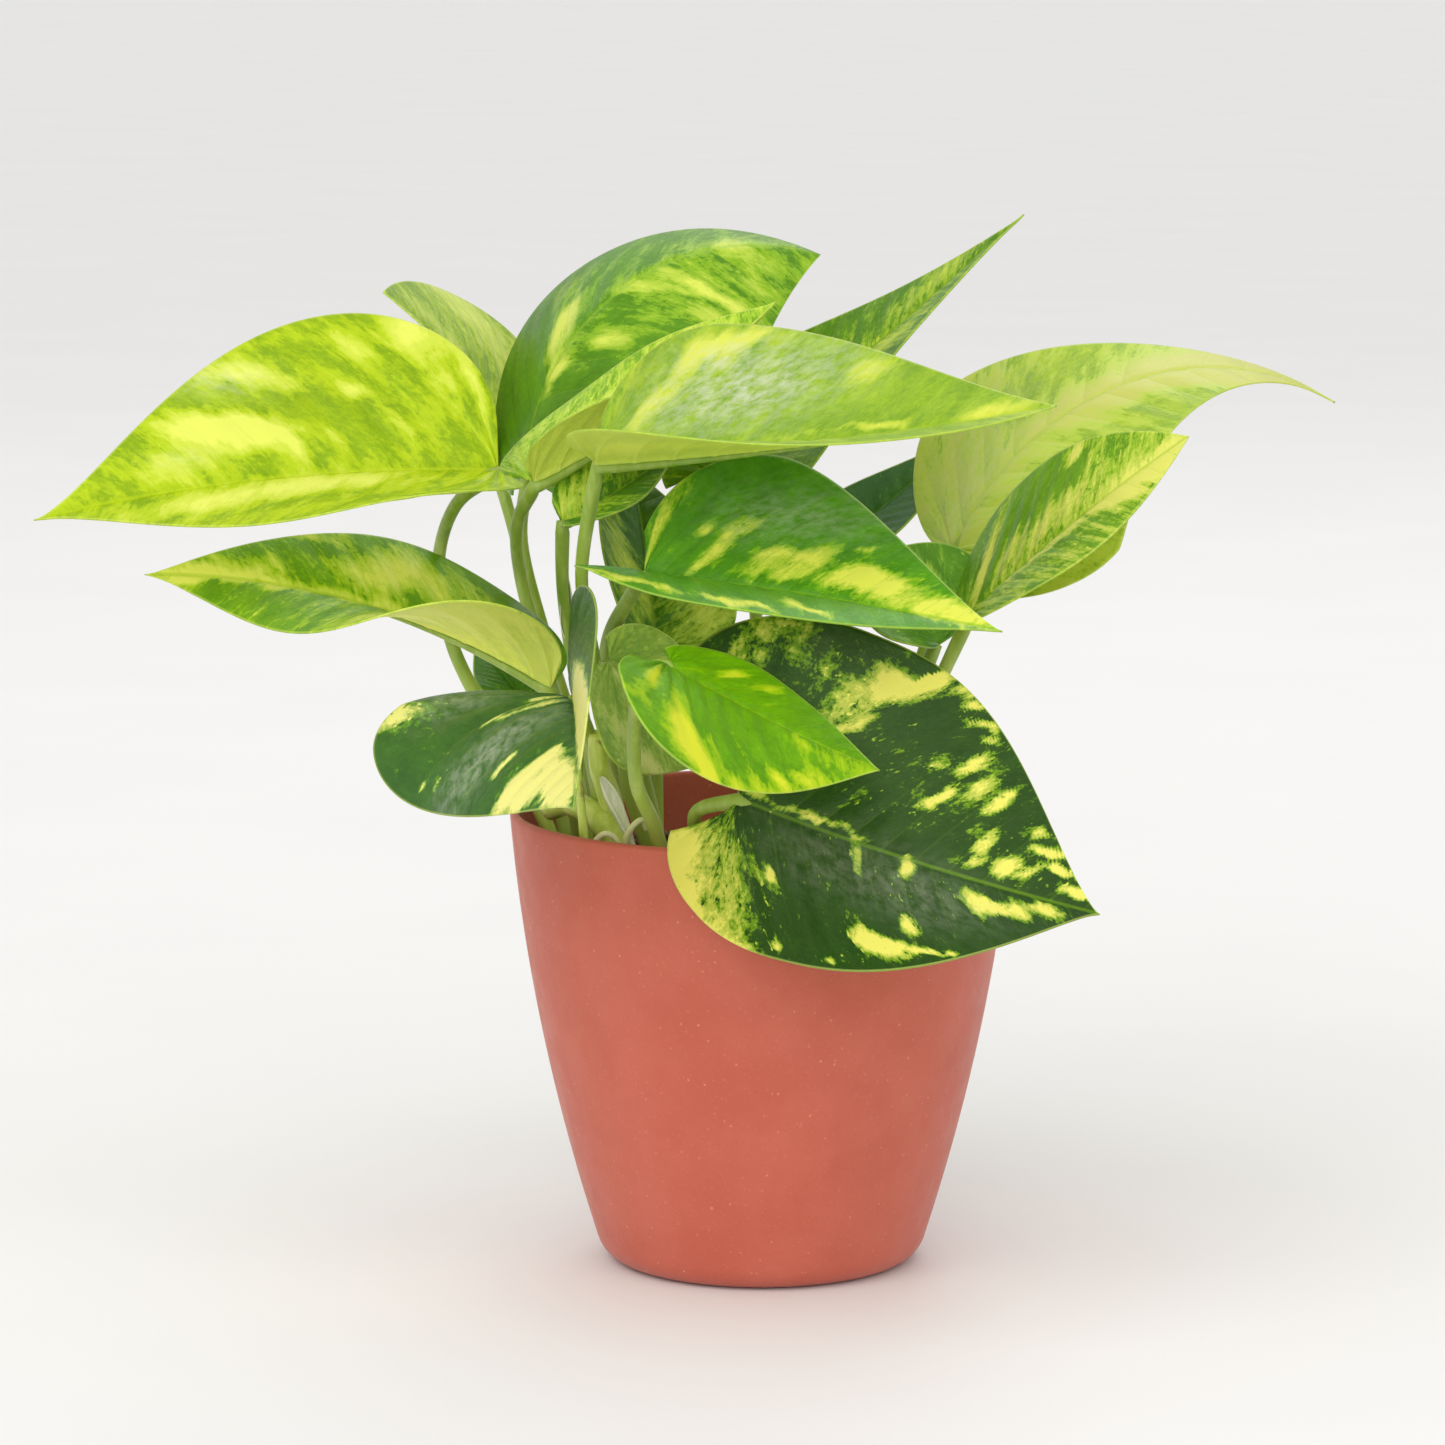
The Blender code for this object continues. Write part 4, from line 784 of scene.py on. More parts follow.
def blade_point(leaf, rib, across, along):
    """Place of a blade's point in mm, with its vein measures and its distance to the margin."""
    length = leaf["length"]
    side_index = 0 if across < 0 else 1
    reach = leaf["left"] if across < 0 else leaf["right"]
    lobe = leaf["lobe"][side_index]
    rib_y = length * along ** 1.75
    edge_y = length * (-lobe + (1 + lobe) * along ** 1.4)
    y = rib_y + (edge_y - rib_y) * abs(across) ** 1.5
    width = reach * half_width(along ** 1.4, leaf)
    x = width * abs(across)
    share = y / length
    forward, side, up = frame_at(leaf, share)
    base = rib[0] + forward * y if y <= 0 else on_midrib(rib, share)
    fold = leaf["fold_left"] if across < 0 else leaf["fold_right"]
    angle = radians(fold[0] + (fold[1] - fold[0]) * max(0.0, min(1.0, share)))
    turn = radians(leaf["curl"][side_index]) * x / reach / 2
    chord = x * (sin(turn) / turn if abs(turn) > 0.0001 else 1.0)
    sign = -1.0 if across < 0 else 1.0
    place = base + side * (sign * chord * cos(angle + turn)) + up * (chord * sin(angle + turn))
    lean = angle + 2 * turn
    normal = up * cos(lean) - side * (sign * sin(lean))
    start, out = vein_measures(x, y, length)
    inside = 1 - abs(across) ** 4
    fade = max(0.0, 1 - max(0.0, share)) ** 0.4
    phase = start * SIDE_VEINS + (0.5 if across < 0 else 0.0)
    near = phase - round(phase)
    rise = SWELL * (0.5 - 0.5 * cos(2 * pi * phase)) * inside * min(1.0, x / 4.0) * fade
    rise -= VEIN_DEPTH * bell(near * length / SIDE_VEINS, 0.7) * inside * fade
    rise -= MIDRIB_DEPTH * bell(x, 1.0) * fade
    rise += leaf["wave"] * sin(9.0 * share + 2.2 * sign + leaf["heading"]) * abs(across) ** 3 * inside_wave(along)
    margin = (1 - abs(across)) * width
    return place + normal * rise, start, sign * out, margin


print("side veins on each half:", SIDE_VEINS)

# %% [markdown]
# Where a splash of yellow lies is stored on the points as one smooth number, *field*. The shader adds
# noise to it and cuts it at three levels, which gives the ragged borders that run along the veins. The
# leaf's own three tones are stored too, and how *streak*-y and how *grit*-ty it is, so that all leaves
# share one pair of materials. A further number holds the painted sheen: where a pale grey-green veil,
# standing in for the reflection of a bright window, is mixed into the colour.

# %% Make the blades
BLADE_THICKNESS = 0.45


def splashes(marks, start, out, crisp=1.0):
    """The sum of soft-edged patches at a point given by its vein measures."""
    total = 0.0
    for mark_start, mark_out, wide, long, strength in marks:
        far = ((start - mark_start) / wide) ** 2 + ((out - mark_out) / long) ** 2
        if far < 16:
            total += strength * 1.1 * exp(-0.6 * far ** crisp)
    return total


def ragged(start, out, seed):
    """The same vein measures, shifted by two sizes of noise, so that no patch keeps its oval shape."""
    broad = noise.noise_vector(Vector((start * 16, out * 14, seed)))
    fine = noise.noise_vector(Vector((start * 42, out * 34, seed + 9)))
    return start + 0.016 * broad.x + 0.009 * fine.x, out + 0.022 * broad.y + 0.012 * fine.y


def make_blade(name, leaf, materials, index):
    rib = midrib_points(leaf)
    shape = bmesh.new()
    finer = 1.5 if "crisp" in leaf else 1.0
    cells_across = 2 * round((14 + 0.3 * leaf["length"]) * finer)
    cells_along = round((24 + leaf["length"]) * finer)
    bmesh.ops.create_grid(shape, x_segments=cells_across, y_segments=cells_along, size=1.0)
    field = shape.verts.layers.float.new("field")
    margin = shape.verts.layers.float.new("margin")
    streak = shape.verts.layers.float.new("streak")
    grit = shape.verts.layers.float.new("grit")
    painted_sheen = shape.verts.layers.float.new("painted_sheen")
    start = shape.verts.layers.float.new("start")
    out = shape.verts.layers.float.new("out")
    tones = [shape.verts.layers.float_color.new(label) for label in ("ground", "middle", "pale")]
    colours = [screen(*tone) for tone in leaf["tones"]]
    for corner in shape.verts:
        across = corner.co.x
        across = (1 if across > 0 else -1) * abs(across) ** 1.15
        place, begin, far, edge = blade_point(leaf, rib, across, (corner.co.y + 1) / 2)
        corner.co = place * MM
        corner[start] = begin
        corner[out] = far
        corner[margin] = edge
        corner[streak] = leaf["streak"]
        corner[grit] = leaf.get("grit", 0.9)
        # painted sheen: where a pale grey-green veil is mixed into the colour, standing in for a reflection
        corner[painted_sheen] = splashes(leaf.get("painted_sheen", ()), begin, far)
        corner[field] = leaf["base"] + splashes(leaf["pale"], *ragged(begin, far, index), leaf.get("crisp", 1.0))
        depth = min(1.0, splashes(leaf["deep"], begin, far))
        for tone, colour in zip(tones, colours):
            corner[tone] = [channel * (1 - 0.6 * depth) for channel in colour[:3]] + [1.0]
    bmesh.ops.remove_doubles(shape, verts=shape.verts[:], dist=0.00002)
    veins = shape.loops.layers.uv.new("veins")
    scale = leaf["length"] / 100
    for face in shape.faces:
        for corner in face.loops:
            corner[veins].uv = (corner.vert[start] * scale + index * 3.7, corner.vert[out] * scale)
    piece = finish_piece("blade_" + name, shape, materials,
                         ["leaf_" + name])
    thick = piece.modifiers.new("thickness", "SOLIDIFY")
    thick.thickness = BLADE_THICKNESS * MM
    thick.offset = 0.0
    thick.material_offset = 1
    return piece


# %% [markdown]
# ## The leaf's finish
# Three tones make a variegated leaf: the green ground, a brighter middle green that borders and dots
# the splashes, and the yellow or cream itself. The shared group *variegation* adds several sizes of
# noise to the stored field, from broad clouds and long streaks along the veins down to flecks of
# yellow in the green and holes of green in the yellow. The upper side is waxy: a soft gloss over a
# fine cell texture, with a paler midrib and a thin pale margin. On some leaves a painted sheen, a pale
# grey-green veil that stands in for a window's reflection, is mixed into its colour. The underside is
# duller and paler, and its colour is lifted further as painted light shining through the leaf, with
# the same splashes showing through.

# %% Build the variegation group
varie, varie_in, varie_out = new_group(
    "variegation",
    [("Veins", "NodeSocketVector"), ("Field", "NodeSocketFloat"), ("Streak", "NodeSocketFloat"),
     ("Grit", "NodeSocketFloat"), ("Ground", "NodeSocketColor"), ("Middle", "NodeSocketColor"),
     ("Pale", "NodeSocketColor")],
    [("Colour", "NodeSocketColor"), ("Pale Mask", "NodeSocketFloat")])
vein_place = varie_in.outputs["Veins"]


def centred(tree, value, amount):
    return calc(tree, "MULTIPLY", calc(tree, "SUBTRACT", value, 0.5), amount)


def vein_grain(across, along, shift, detail, roughness):
    """Noise in vein coordinates: features are 100 / across mm wide and 100 / along mm long."""
    place = stretched(varie, vein_place, (across, along, 1.0), (shift, shift, 0.0))
    return grain(varie, place, 1.0, detail, roughness)


long_streak = vein_grain(50.0, 7.0, 0.0, 6.0, 0.65)
broad_cloud = vein_grain(16.0, 9.0, 4.0, 5.0, 0.62)
small_cell = vein_grain(95.0, 66.0, 9.0, 4.0, 0.72)
blotch = vein_grain(36.0, 22.0, 33.0, 4.0, 0.68)
fleck_noise = vein_grain(88.0, 46.0, 15.0, 2.0, 0.5)
fleck_place = step_up(varie, vein_grain(9.0, 7.0, 21.0, 2.0, 0.5), 0.44, 0.6)
hole_noise = vein_grain(85.0, 58.0, 27.0, 2.0, 0.5)
streaked = calc(varie, "MULTIPLY", centred(varie, long_streak, 1.5), varie_in.outputs["Streak"])
gritty = calc(varie, "ADD", centred(varie, small_cell, 1.2), centred(varie, blotch, 1.5))
gritty = calc(varie, "MULTIPLY", gritty, varie_in.outputs["Grit"])
clouded = calc(varie, "ADD", centred(varie, broad_cloud, 1.3), gritty)
level = calc(varie, "ADD", varie_in.outputs["Field"], calc(varie, "ADD", streaked, clouded))
fleck_place = calc(varie, "MULTIPLY", fleck_place, varie_in.outputs["Grit"])
flecks = calc(varie, "MULTIPLY", step_up(varie, fleck_noise, 0.6, 0.72, 0.0, 0.6), fleck_place)
hole_place = step_up(varie, broad_cloud, 0.6, 0.42)
holes = calc(varie, "MULTIPLY", step_up(varie, hole_noise, 0.58, 0.7, 0.0, 0.5), hole_place)
holes = calc(varie, "MULTIPLY", holes, varie_in.outputs["Grit"])
level = calc(varie, "SUBTRACT", calc(varie, "ADD", level, flecks), holes)
middle_mask = step_up(varie, level, -0.18, 0.08)
bright_mask = step_up(varie, level, 0.08, 0.34)
pale_mask = step_up(varie, level, 0.34, 0.8)
ground_shade = step_up(varie, calc(varie, "ADD", broad_cloud, centred(varie, small_cell, 0.7)), 0.25, 0.75)
ground_dark = blend(varie, 1.0, varie_in.outputs["Ground"], (0.7, 0.78, 0.8, 1.0), "MULTIPLY")
ground_light = blend(varie, 1.0, varie_in.outputs["Ground"], (1.25, 1.16, 1.0, 1.0), "MULTIPLY")
ground_tone = blend(varie, ground_shade, ground_dark, ground_light)
bright_tone = blend(varie, 0.5, varie_in.outputs["Middle"], varie_in.outputs["Pale"])
with_middle = blend(varie, calc(varie, "MULTIPLY", middle_mask, 0.85), ground_tone, varie_in.outputs["Middle"])
with_bright = blend(varie, calc(varie, "MULTIPLY", bright_mask, 0.85), with_middle, bright_tone)
with_pale = blend(varie, calc(varie, "MULTIPLY", pale_mask, 0.95), with_bright, varie_in.outputs["Pale"])
put(varie_out.inputs["Colour"], with_pale)
put(varie_out.inputs["Pale Mask"], pale_mask)

# %% Build the upper and lower leaf materials
MARGIN_TONE = screen(196, 214, 104)
# Pale yellow for the underside: partly its own paler colour, partly painted light shining through the leaf
UNDERSIDE_PALE_AND_LIT_TONE = screen(240, 245, 118)
# painted sheen: the pale grey-green colour mixed in where a bright window would reflect
PAINTED_SHEEN_TONE = screen(206, 208, 190)
SHEEN_TINT = (0.85, 1.0, 0.5, 1.0)


def leaf_material(name, under):
    made, tree, shader = new_material(name, 0.5 if under else 0.36, 0.15 if under else 0.26)
    shader.inputs["Specular Tint"].default_value = SHEEN_TINT
    uv_node = tree.nodes.new("ShaderNodeUVMap")
    uv_node.uv_map = "veins"
    veins = uv_node.outputs["UV"]
    mixed = use_group(tree, varie, Veins=veins, Field=stored(tree, "field"), Streak=stored(tree, "streak"),
                      Grit=stored(tree, "grit"), Ground=stored(tree, "ground", "Color"),
                      Middle=stored(tree, "middle", "Color"), Pale=stored(tree, "pale", "Color"))
    colour = mixed["Colour"]
    start = stored(tree, "start")
    out = calc(tree, "ABSOLUTE", stored(tree, "out"))
    phase = calc(tree, "MULTIPLY", start, float(SIDE_VEINS))
    side = calc(tree, "MULTIPLY", calc(tree, "LESS_THAN", stored(tree, "out"), 0.0), 0.5)
    near = calc(tree, "PINGPONG", calc(tree, "ADD", phase, side), 0.5)
    vein_line = step_up(tree, near, 0.0, 0.07, 1.0, 0.0)
    vein_line = calc(tree, "MULTIPLY", vein_line, step_up(tree, out, 0.3, 0.02))
    rib_line = step_up(tree, out, 0.003, 0.01, 1.0, 0.0)
    margin_line = step_up(tree, stored(tree, "margin"), 0.1, 0.5, 1.0, 0.0)
    cell = cells(tree, veins, 260.0)
    if under:
        # The underside's own paler colour, lifted further as painted light shining through the leaf
        colour = blend(tree, 0.58, colour, UNDERSIDE_PALE_AND_LIT_TONE)
        colour = blend(tree, calc(tree, "MULTIPLY", vein_line, 0.35), colour, UNDERSIDE_PALE_AND_LIT_TONE)
        colour = blend(tree, calc(tree, "MULTIPLY", rib_line, 0.7), colour, MARGIN_TONE)
    else:
        colour = blend(tree, calc(tree, "MULTIPLY", vein_line, 0.12), colour, stored(tree, "middle", "Color"))
        colour = blend(tree, calc(tree, "MULTIPLY", rib_line, 0.5), colour, stored(tree, "middle", "Color"))
        # painted sheen: a streaky pale grey-green veil mixed into the colour where the leaf's list marks it
        painted_sheen_mask = step_up(tree, grain(tree, veins, 34.0, 5.0, 0.65), 0.3, 0.7, 0.0, 0.6)
        painted_sheen_mask = calc(tree, "MULTIPLY", stored(tree, "painted_sheen"), painted_sheen_mask, clamp=True)
        colour = blend(tree, painted_sheen_mask, colour, PAINTED_SHEEN_TONE)
        dust = use_group(tree, speck_group, Place=object_place(tree), Size=420.0, Share=0.95)["Mask"]
        colour = blend(tree, calc(tree, "MULTIPLY", dust, 0.2), colour, screen(236, 240, 224))
    colour = blend(tree, calc(tree, "MULTIPLY", margin_line, 0.4), colour, MARGIN_TONE)
    put(shader.inputs["Base Color"], colour)
    skin = grain(tree, veins, 90.0, 2.0, 0.5)
    if not under:
        put(shader.inputs["Roughness"], step_up(tree, skin, 0.3, 0.7, 0.3, 0.44))
    height = calc(tree, "ADD", calc(tree, "MULTIPLY", cell, 0.35), skin)
    height = calc(tree, "SUBTRACT", height, calc(tree, "MULTIPLY", vein_line, -0.8 if under else 0.8))
    put(shader.inputs["Normal"], relief(tree, height, 0.22, 0.0004))
    shader.inputs["Subsurface Weight"].default_value = 0.3
    shader.inputs["Subsurface Radius"].default_value = (0.9, 1.0, 0.15)
    shader.inputs["Subsurface Scale"].default_value = 0.0018
    return made


leaf_top = leaf_material("waxy leaf", False)
leaf_under = leaf_material("leaf underside", True)
for index, (leaf_name, leaf) in enumerate(LEAVES.items()):
    make_blade(leaf_name, leaf, [leaf_top, leaf_under], index)

# %% [markdown]
# ## Stalks
# A stalk leaves the soil, bends towards the light and ends in a slightly thicker joint that turns the
# blade. From there it runs on under the blade as the raised midrib. Each is swept: a round ring with a
# shallow channel is extruded along a smooth line, step by step, and scaled as the stalk gets thinner.

# %% Routes of the stalks
STEMS = {
    "upper_left": dict(foot=(-49, 3), via=[(-55, 6, 112), (-69, 15, 135), (-75, 18, 149), (-77, 14, 167),
                                           (-72, 0, 182)]),
    "mid_left": dict(foot=(-43, -9), via=[(-44, -10, 112), (-44, -11, 128)]),
    "low_left": dict(foot=(-38, -19), via=[(-38, -22, 112), (-40, -28, 130)]),
    "back_left": dict(foot=(-39, 24), via=[(-43, 31, 115), (-54, 53, 145), (-62, 74, 170)]),
    "top_centre": dict(foot=(-38, 17), via=[(-42, 21, 115), (-52, 32, 145), (-58, 39, 168)]),
    "centre_small": dict(foot=(-41, 9), via=[(-45, 9, 118), (-52, 11, 144), (-57, 12, 161), (-58, 4, 176)]),
    "centre_right": dict(foot=(-32, -15), via=[(-35, -15, 118), (-39, -15, 145), (-42, -23, 168)]),
    "centre_inner": dict(foot=(-37, -1), via=[(-40, 2, 118), (-45, 4, 145), (-47, 0, 162)]),
    "back_right_pointed": dict(foot=(-5, 16), via=[(-3, 22, 118), (-1, 31, 150), (-5, 34, 172)]),
    "inner_dark": dict(foot=(-25, 9), via=[(-25, 9, 112), (-25, 10, 130)]),
    "centre": dict(foot=(-26, -3), vine=True,
                   via=[(-31, -3, 115), (-36, -3, 135), (-36, -6, 150), (-31, -20, 162)]),
    "front_bright": dict(foot=(-21, -38),
                         via=[(-25, -43, 112), (-29, -52, 124), (-29, -66, 142), (-26, -77, 153)]),
    "right_dark_big": dict(foot=(-14, -36), via=[(-15, -42, 108), (-15, -52, 117)]),
    "right_pale_big": dict(foot=(24, 10), via=[(28, 13, 115), (38, 21, 140), (44, 27, 157)]),
    "right_striped": dict(foot=(27, -6), via=[(31, -8, 115), (40, -11, 137)]),
    "back_right_dark": dict(foot=(2, 24), via=[(3, 32, 115), (7, 48, 138)]),
    "right_small": dict(foot=(19, 0), via=[(23, 1, 112), (34, 2, 130)]),
    "inner_pale": dict(foot=(-24, -15), via=[(-26, -15, 112), (-31, -16, 130)]),
    "back_left_small": dict(foot=(-47, 14), via=[(-50, 19, 112)]),
}
STEM_FOOT_RADIUS = 2.1
STEM_TOP_RADIUS = 1.5
VINE_FOOT_RADIUS = 3.4
RIDGE_END = 0.62
RING_SIDES = 16


def smooth_path(points, per_span):
    """A rounded line through the points: each span is a cubic eased by its neighbours."""
    chain = [points[0] * 2 - points[1]] + points + [points[-1] * 2 - points[-2]]
    line = []
    for index in range(1, len(chain) - 2):
        a, b, c, d = chain[index - 1:index + 3]
        for step in range(per_span):
            t = step / per_span
            line.append(0.5 * ((2 * b) + (c - a) * t + (2 * a - 5 * b + 4 * c - d) * t ** 2
                               + (3 * b - a - 3 * c + d) * t ** 3))
    line.append(points[-1].copy())
    return line


def sweep(shape, line, radii, sides=RING_SIDES, channel=0.0):
    """Extrudes a ring along the line in mm. Stores how far along each ring lies, 0 to 1."""
    along = shape.verts.layers.float.get("along") or shape.verts.layers.float.new("along")
    ring = bmesh.ops.create_circle(shape, cap_ends=True, segments=sides, radius=1.0)["verts"]
    for corner in ring:
        turn = atan2(corner.co.y, corner.co.x)
        corner.co *= 1 - channel * bell(turn, 0.5)
    cap = [face for face in ring[0].link_faces][0]
    bmesh.ops.reverse_faces(shape, faces=[cap])
    ahead = (line[1] - line[0]).normalized()
    turned = Vector((0, 0, 1)).rotation_difference(ahead)
    held = Matrix.Translation(line[0] * MM) @ turned.to_matrix().to_4x4() @ Matrix.Scale(radii[0] * MM, 4)
    bmesh.ops.transform(shape, matrix=held, verts=ring)
    lid = cap
    for index in range(1, len(line)):
        grown = bmesh.ops.extrude_face_region(shape, geom=[lid])["geom"]
        fresh = [item for item in grown if isinstance(item, bmesh.types.BMVert)]
        following = line[min(index + 1, len(line) - 1)] - line[index - 1]
        if following.length > 0.0001:
            bend = ahead.rotation_difference(following.normalized())
            turned = bend @ turned
            ahead = following.normalized()
        aim = Matrix.Translation(line[index] * MM) @ turned.to_matrix().to_4x4() @ Matrix.Scale(radii[index] * MM, 4)
        bmesh.ops.transform(shape, matrix=aim @ held.inverted(), verts=fresh)
        held = aim
        for corner in fresh:
            corner[along] = index / (len(line) - 1)
        old = lid
        lid = [item for item in grown if isinstance(item, bmesh.types.BMFace)][0]
        if index > 1 and old.is_valid:
            bmesh.ops.delete(shape, geom=[old], context="FACES_ONLY")
    bmesh.ops.recalc_face_normals(shape, faces=shape.faces[:])


def stem_line(name):
    """The stalk's line and radii: out of the soil, through its bends, up to and along the midrib."""
    stem = STEMS[name]
    leaf = LEAVES[name]
    foot_x, foot_y = stem["foot"]
    ground = soil_height(foot_x, foot_y)
    up = frame_at(leaf, 0.0)[2]
    seat = Vector(leaf["attach"]) - up * (STEM_TOP_RADIUS * 0.75)
    bends = [Vector((foot_x, foot_y, ground - 3.0)), Vector((foot_x, foot_y, ground + 1.0))]
    bends += [Vector(point) for point in stem["via"]] + [seat]
    line = smooth_path(bends, 8)
    thick = VINE_FOOT_RADIUS if stem.get("vine") else STEM_FOOT_RADIUS
    count = len(line)
    radii = []
    for index in range(count):
        share = index / (count - 1)
        radius = thick + (STEM_TOP_RADIUS - thick) * share ** 0.8
        joint = 0.22 * bell((1 - share) * count / 8, 0.7)
        radii.append(radius * (1 + joint))
    rib = midrib_points(leaf)
    ridge_steps = 16
    for step in range(1, ridge_steps + 1):
        share = RIDGE_END * step / ridge_steps
        radius = 0.3 + (STEM_TOP_RADIUS * 0.9 - 0.3) * (1 - step / ridge_steps) ** 1.3
        below = frame_at(leaf, share)[2] * (radius * 0.9 + MIDRIB_DEPTH * 0.95)
        line.append(on_midrib(rib, share) - below)
        radii.append(radius)
    return line, radii


# %% Paint the stalks
stem_material, stem_tree, stem_shader = new_material("fresh stalk", 0.42, 0.5)
stem_along = stored(stem_tree, "along")
stem_place = object_place(stem_tree)
stem_fibre = grain(stem_tree, stretched(stem_tree, stem_place, (420.0, 420.0, 45.0)), 1.0, 3.0, 0.55)
stem_cloud = grain(stem_tree, stem_place, 60.0, 2.0, 0.5)
# Paler towards the foot: partly the stalk's own colour, partly painted light lifting the foot where it lies in the
# shade of the pot's mouth
stem_colour = blend(stem_tree, step_up(stem_tree, stem_along, 0.05, 0.5), screen(192, 210, 100), screen(140, 166, 58))
stem_colour = blend(stem_tree, step_up(stem_tree, stem_fibre, 0.4, 0.72, 0.0, 0.5), stem_colour, screen(184, 200, 108))
stem_colour = blend(stem_tree, step_up(stem_tree, stem_cloud, 0.55, 0.75, 0.0, 0.4), stem_colour, screen(108, 150, 46))
put(stem_shader.inputs["Base Color"], stem_colour)
put(stem_shader.inputs["Normal"], relief(stem_tree, stem_fibre, 0.25, 0.0004))
stem_shader.inputs["Subsurface Weight"].default_value = 0.1
stem_shader.inputs["Subsurface Radius"].default_value = (0.8, 1.0, 0.3)
stem_shader.inputs["Subsurface Scale"].default_value = 0.0015

for stem_name in STEMS:
    stem_shape = bmesh.new()
    stalk_line, stalk_radii = stem_line(stem_name)
    sweep(stem_shape, stalk_line, stalk_radii, channel=0.14)
    finish_piece("stalk_" + stem_name, stem_shape, [stem_material], ["stem_" + stem_name])

# %% [markdown]
# ## Vine, roots and dry sheaths
# The stalks grow from a short, thick vine that lies in the mouth of the pot. Young white-green roots
# loop out of it, and the thin sheaths that once wrapped the young leaves stay behind, dry and papery.
# They are small, but they are what tells a grown plant from a model of one.

# %% Add the vine and the roots
VINE_PIECES = {
    "vine_low": dict(radius=(2.7, 3.6), route=[(-50, -13, 111), (-45, -20, 113.5), (-39, -26, 111.5), (-34, -30, 106),
                                               (-31, -31, 98)]),
    "vine_branch": dict(radius=(3.3, 2.2), route=[(-33, -24, 99), (-34, -25, 108), (-36, -27, 117), (-38, -29, 124),
                                                  (-38.5, -30, 132)]),
    "vine_shoot": dict(radius=(1.2, 0.9), route=[(-41, -35, 97), (-41.5, -35.5, 108), (-42.5, -34, 119),
                                                 (-43.5, -31, 128)]),
}
ROOTS = {
    "root_loop_left": dict(radius=(0.8, 0.6), route=[(-41, -36, 97), (-39.5, -38, 106), (-36.5, -39, 109.5),
                                                     (-33.5, -39, 107), (-33, -38, 98)]),
    "root_loop_right": dict(radius=(0.9, 0.6), route=[(-31, -36, 97), (-32, -37, 106), (-30.5, -38, 110.5),
                                                      (-28, -37.5, 112.5), (-27, -36.5, 110)]),
    "root_back": dict(radius=(0.7, 0.4), route=[(-10, 20, 95), (4, 26, 96), (14, 33, 95.5), (22, 36, 94)]),
    "root_side": dict(radius=(0.7, 0.4), route=[(4, -22, 95), (14, -30, 96.5), (26, -30, 95.5), (34, -26, 94)]),
}

vine_material, vine_tree, vine_shader = new_material("young vine", 0.45, 0.4)
vine_place = object_place(vine_tree)
vine_fibre = grain(vine_tree, stretched(vine_tree, vine_place, (300.0, 300.0, 60.0)), 1.0, 4.0, 0.6)
# Pale yellow-green: partly the young vine's own colour, partly painted light lifting it where it lies in the shade of
# the pot's mouth
vine_colour = blend(vine_tree, step_up(vine_tree, vine_fibre, 0.3, 0.7), screen(182, 204, 76), screen(226, 234, 140))
vine_scar = step_up(vine_tree, grain(vine_tree, vine_place, 110.0, 4.0, 0.7), 0.62, 0.72, 0.0, 0.7)
put(vine_shader.inputs["Base Color"], blend(vine_tree, vine_scar, vine_colour, screen(128, 104, 56)))
put(vine_shader.inputs["Normal"], relief(vine_tree, vine_fibre, 0.35, 0.0005))
vine_shader.inputs["Subsurface Weight"].default_value = 0.2
vine_shader.inputs["Subsurface Radius"].default_value = (0.8, 1.0, 0.3)
vine_shader.inputs["Subsurface Scale"].default_value = 0.002

root_material, root_tree, root_shader = new_material("young root", 0.5, 0.4)
root_cloud = grain(root_tree, object_place(root_tree), 160.0, 3.0, 0.6)
root_colour = blend(root_tree, step_up(root_tree, root_cloud, 0.35, 0.7), screen(214, 220, 148), screen(240, 238, 200))
put(root_shader.inputs["Base Color"], root_colour)
put(root_shader.inputs["Normal"], relief(root_tree, root_cloud, 0.3, 0.0004))


def make_tubes(pieces, material, per_span=8):
    for name, piece in pieces.items():
        line = smooth_path([Vector(point) for point in piece["route"]], per_span)
        thick, thin = piece["radius"]
        radii = [thick + (thin - thick) * step / (len(line) - 1) for step in range(len(line))]
        shape = bmesh.new()
        sweep(shape, line, radii, sides=14)
        finish_piece(name, shape, [material])


make_tubes(VINE_PIECES, vine_material)
make_tubes(ROOTS, root_material)

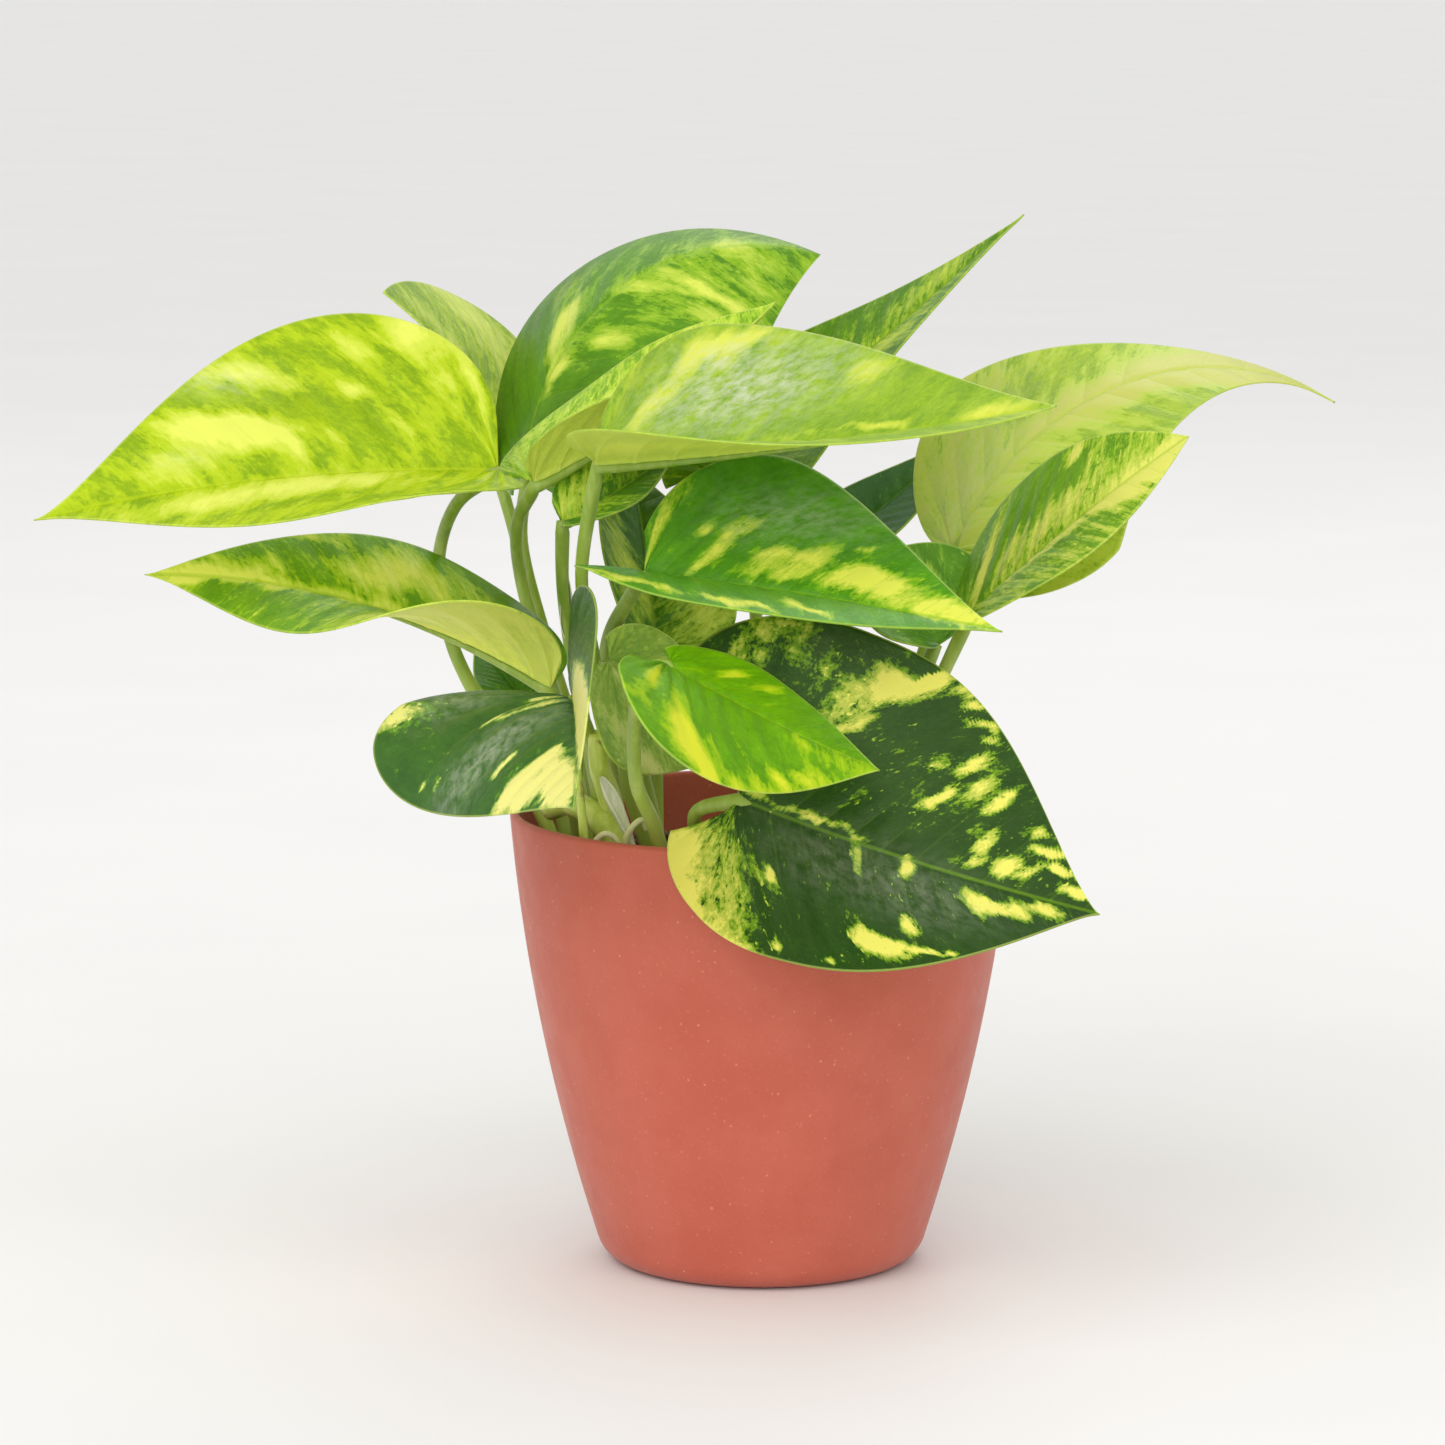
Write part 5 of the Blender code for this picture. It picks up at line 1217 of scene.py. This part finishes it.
# %% Add the dry sheaths
SHEATHS = {
    "sheath_mouth": dict(start=(-37.5, -33, 122), end=(-29, -33.5, 103), bow=(1, -1.2, 0), width=1.7),
    "sheath_upper": dict(start=(-45.6, 3.2, 148), end=(-47, -2.0, 169), bow=(0, -0.6, 0), width=1.7),
}
sheath_material, sheath_tree, sheath_shader = new_material("papery sheath", 0.55, 0.35)
sheath_place = object_place(sheath_tree)
sheath_fibre = grain(sheath_tree, stretched(sheath_tree, sheath_place, (700.0, 700.0, 60.0)), 1.0, 3.0, 0.6)
sheath_colour = blend(sheath_tree, step_up(sheath_tree, sheath_fibre, 0.35, 0.7), screen(224, 228, 196),
                      screen(246, 247, 236))
sheath_brown = step_up(sheath_tree, grain(sheath_tree, sheath_place, 90.0, 3.0, 0.6), 0.66, 0.78)
sheath_colour = blend(sheath_tree, sheath_brown, sheath_colour, screen(136, 96, 58))
put(sheath_shader.inputs["Base Color"], sheath_colour)
put(sheath_shader.inputs["Normal"], relief(sheath_tree, sheath_fibre, 0.35, 0.0005))

for sheath_name, sheath in SHEATHS.items():
    sheath_shape = bmesh.new()
    bmesh.ops.create_grid(sheath_shape, x_segments=12, y_segments=24, size=1.0)
    begin = Vector(sheath["start"])
    finish = Vector(sheath["end"])
    axis = (finish - begin).normalized()
    side = axis.cross(Vector(sheath["bow"])).normalized()
    front = side.cross(axis)
    for corner in sheath_shape.verts:
        share = (corner.co.y + 1) / 2
        width = sheath["width"] * (1 - share ** 2.2) ** 0.8 * min(1.0, 0.05 + 4 * share) ** 0.5
        turn = corner.co.x * radians(105)
        middle = begin.lerp(finish, share) + Vector(sheath["bow"]) * sin(pi * share) * 0.5
        ripple = 0.2 * sin(9 * corner.co.x + 5 * share)
        corner.co = (middle + side * (sin(turn) * width) - front * (cos(turn) * width + ripple)) * MM
    bmesh.ops.remove_doubles(sheath_shape, verts=sheath_shape.verts[:], dist=0.00002)
    bmesh.ops.recalc_face_normals(sheath_shape, faces=sheath_shape.faces[:])
    sheath_piece = finish_piece(sheath_name, sheath_shape, [sheath_material])
    skin = sheath_piece.modifiers.new("thickness", "SOLIDIFY")
    skin.thickness = 0.25 * MM
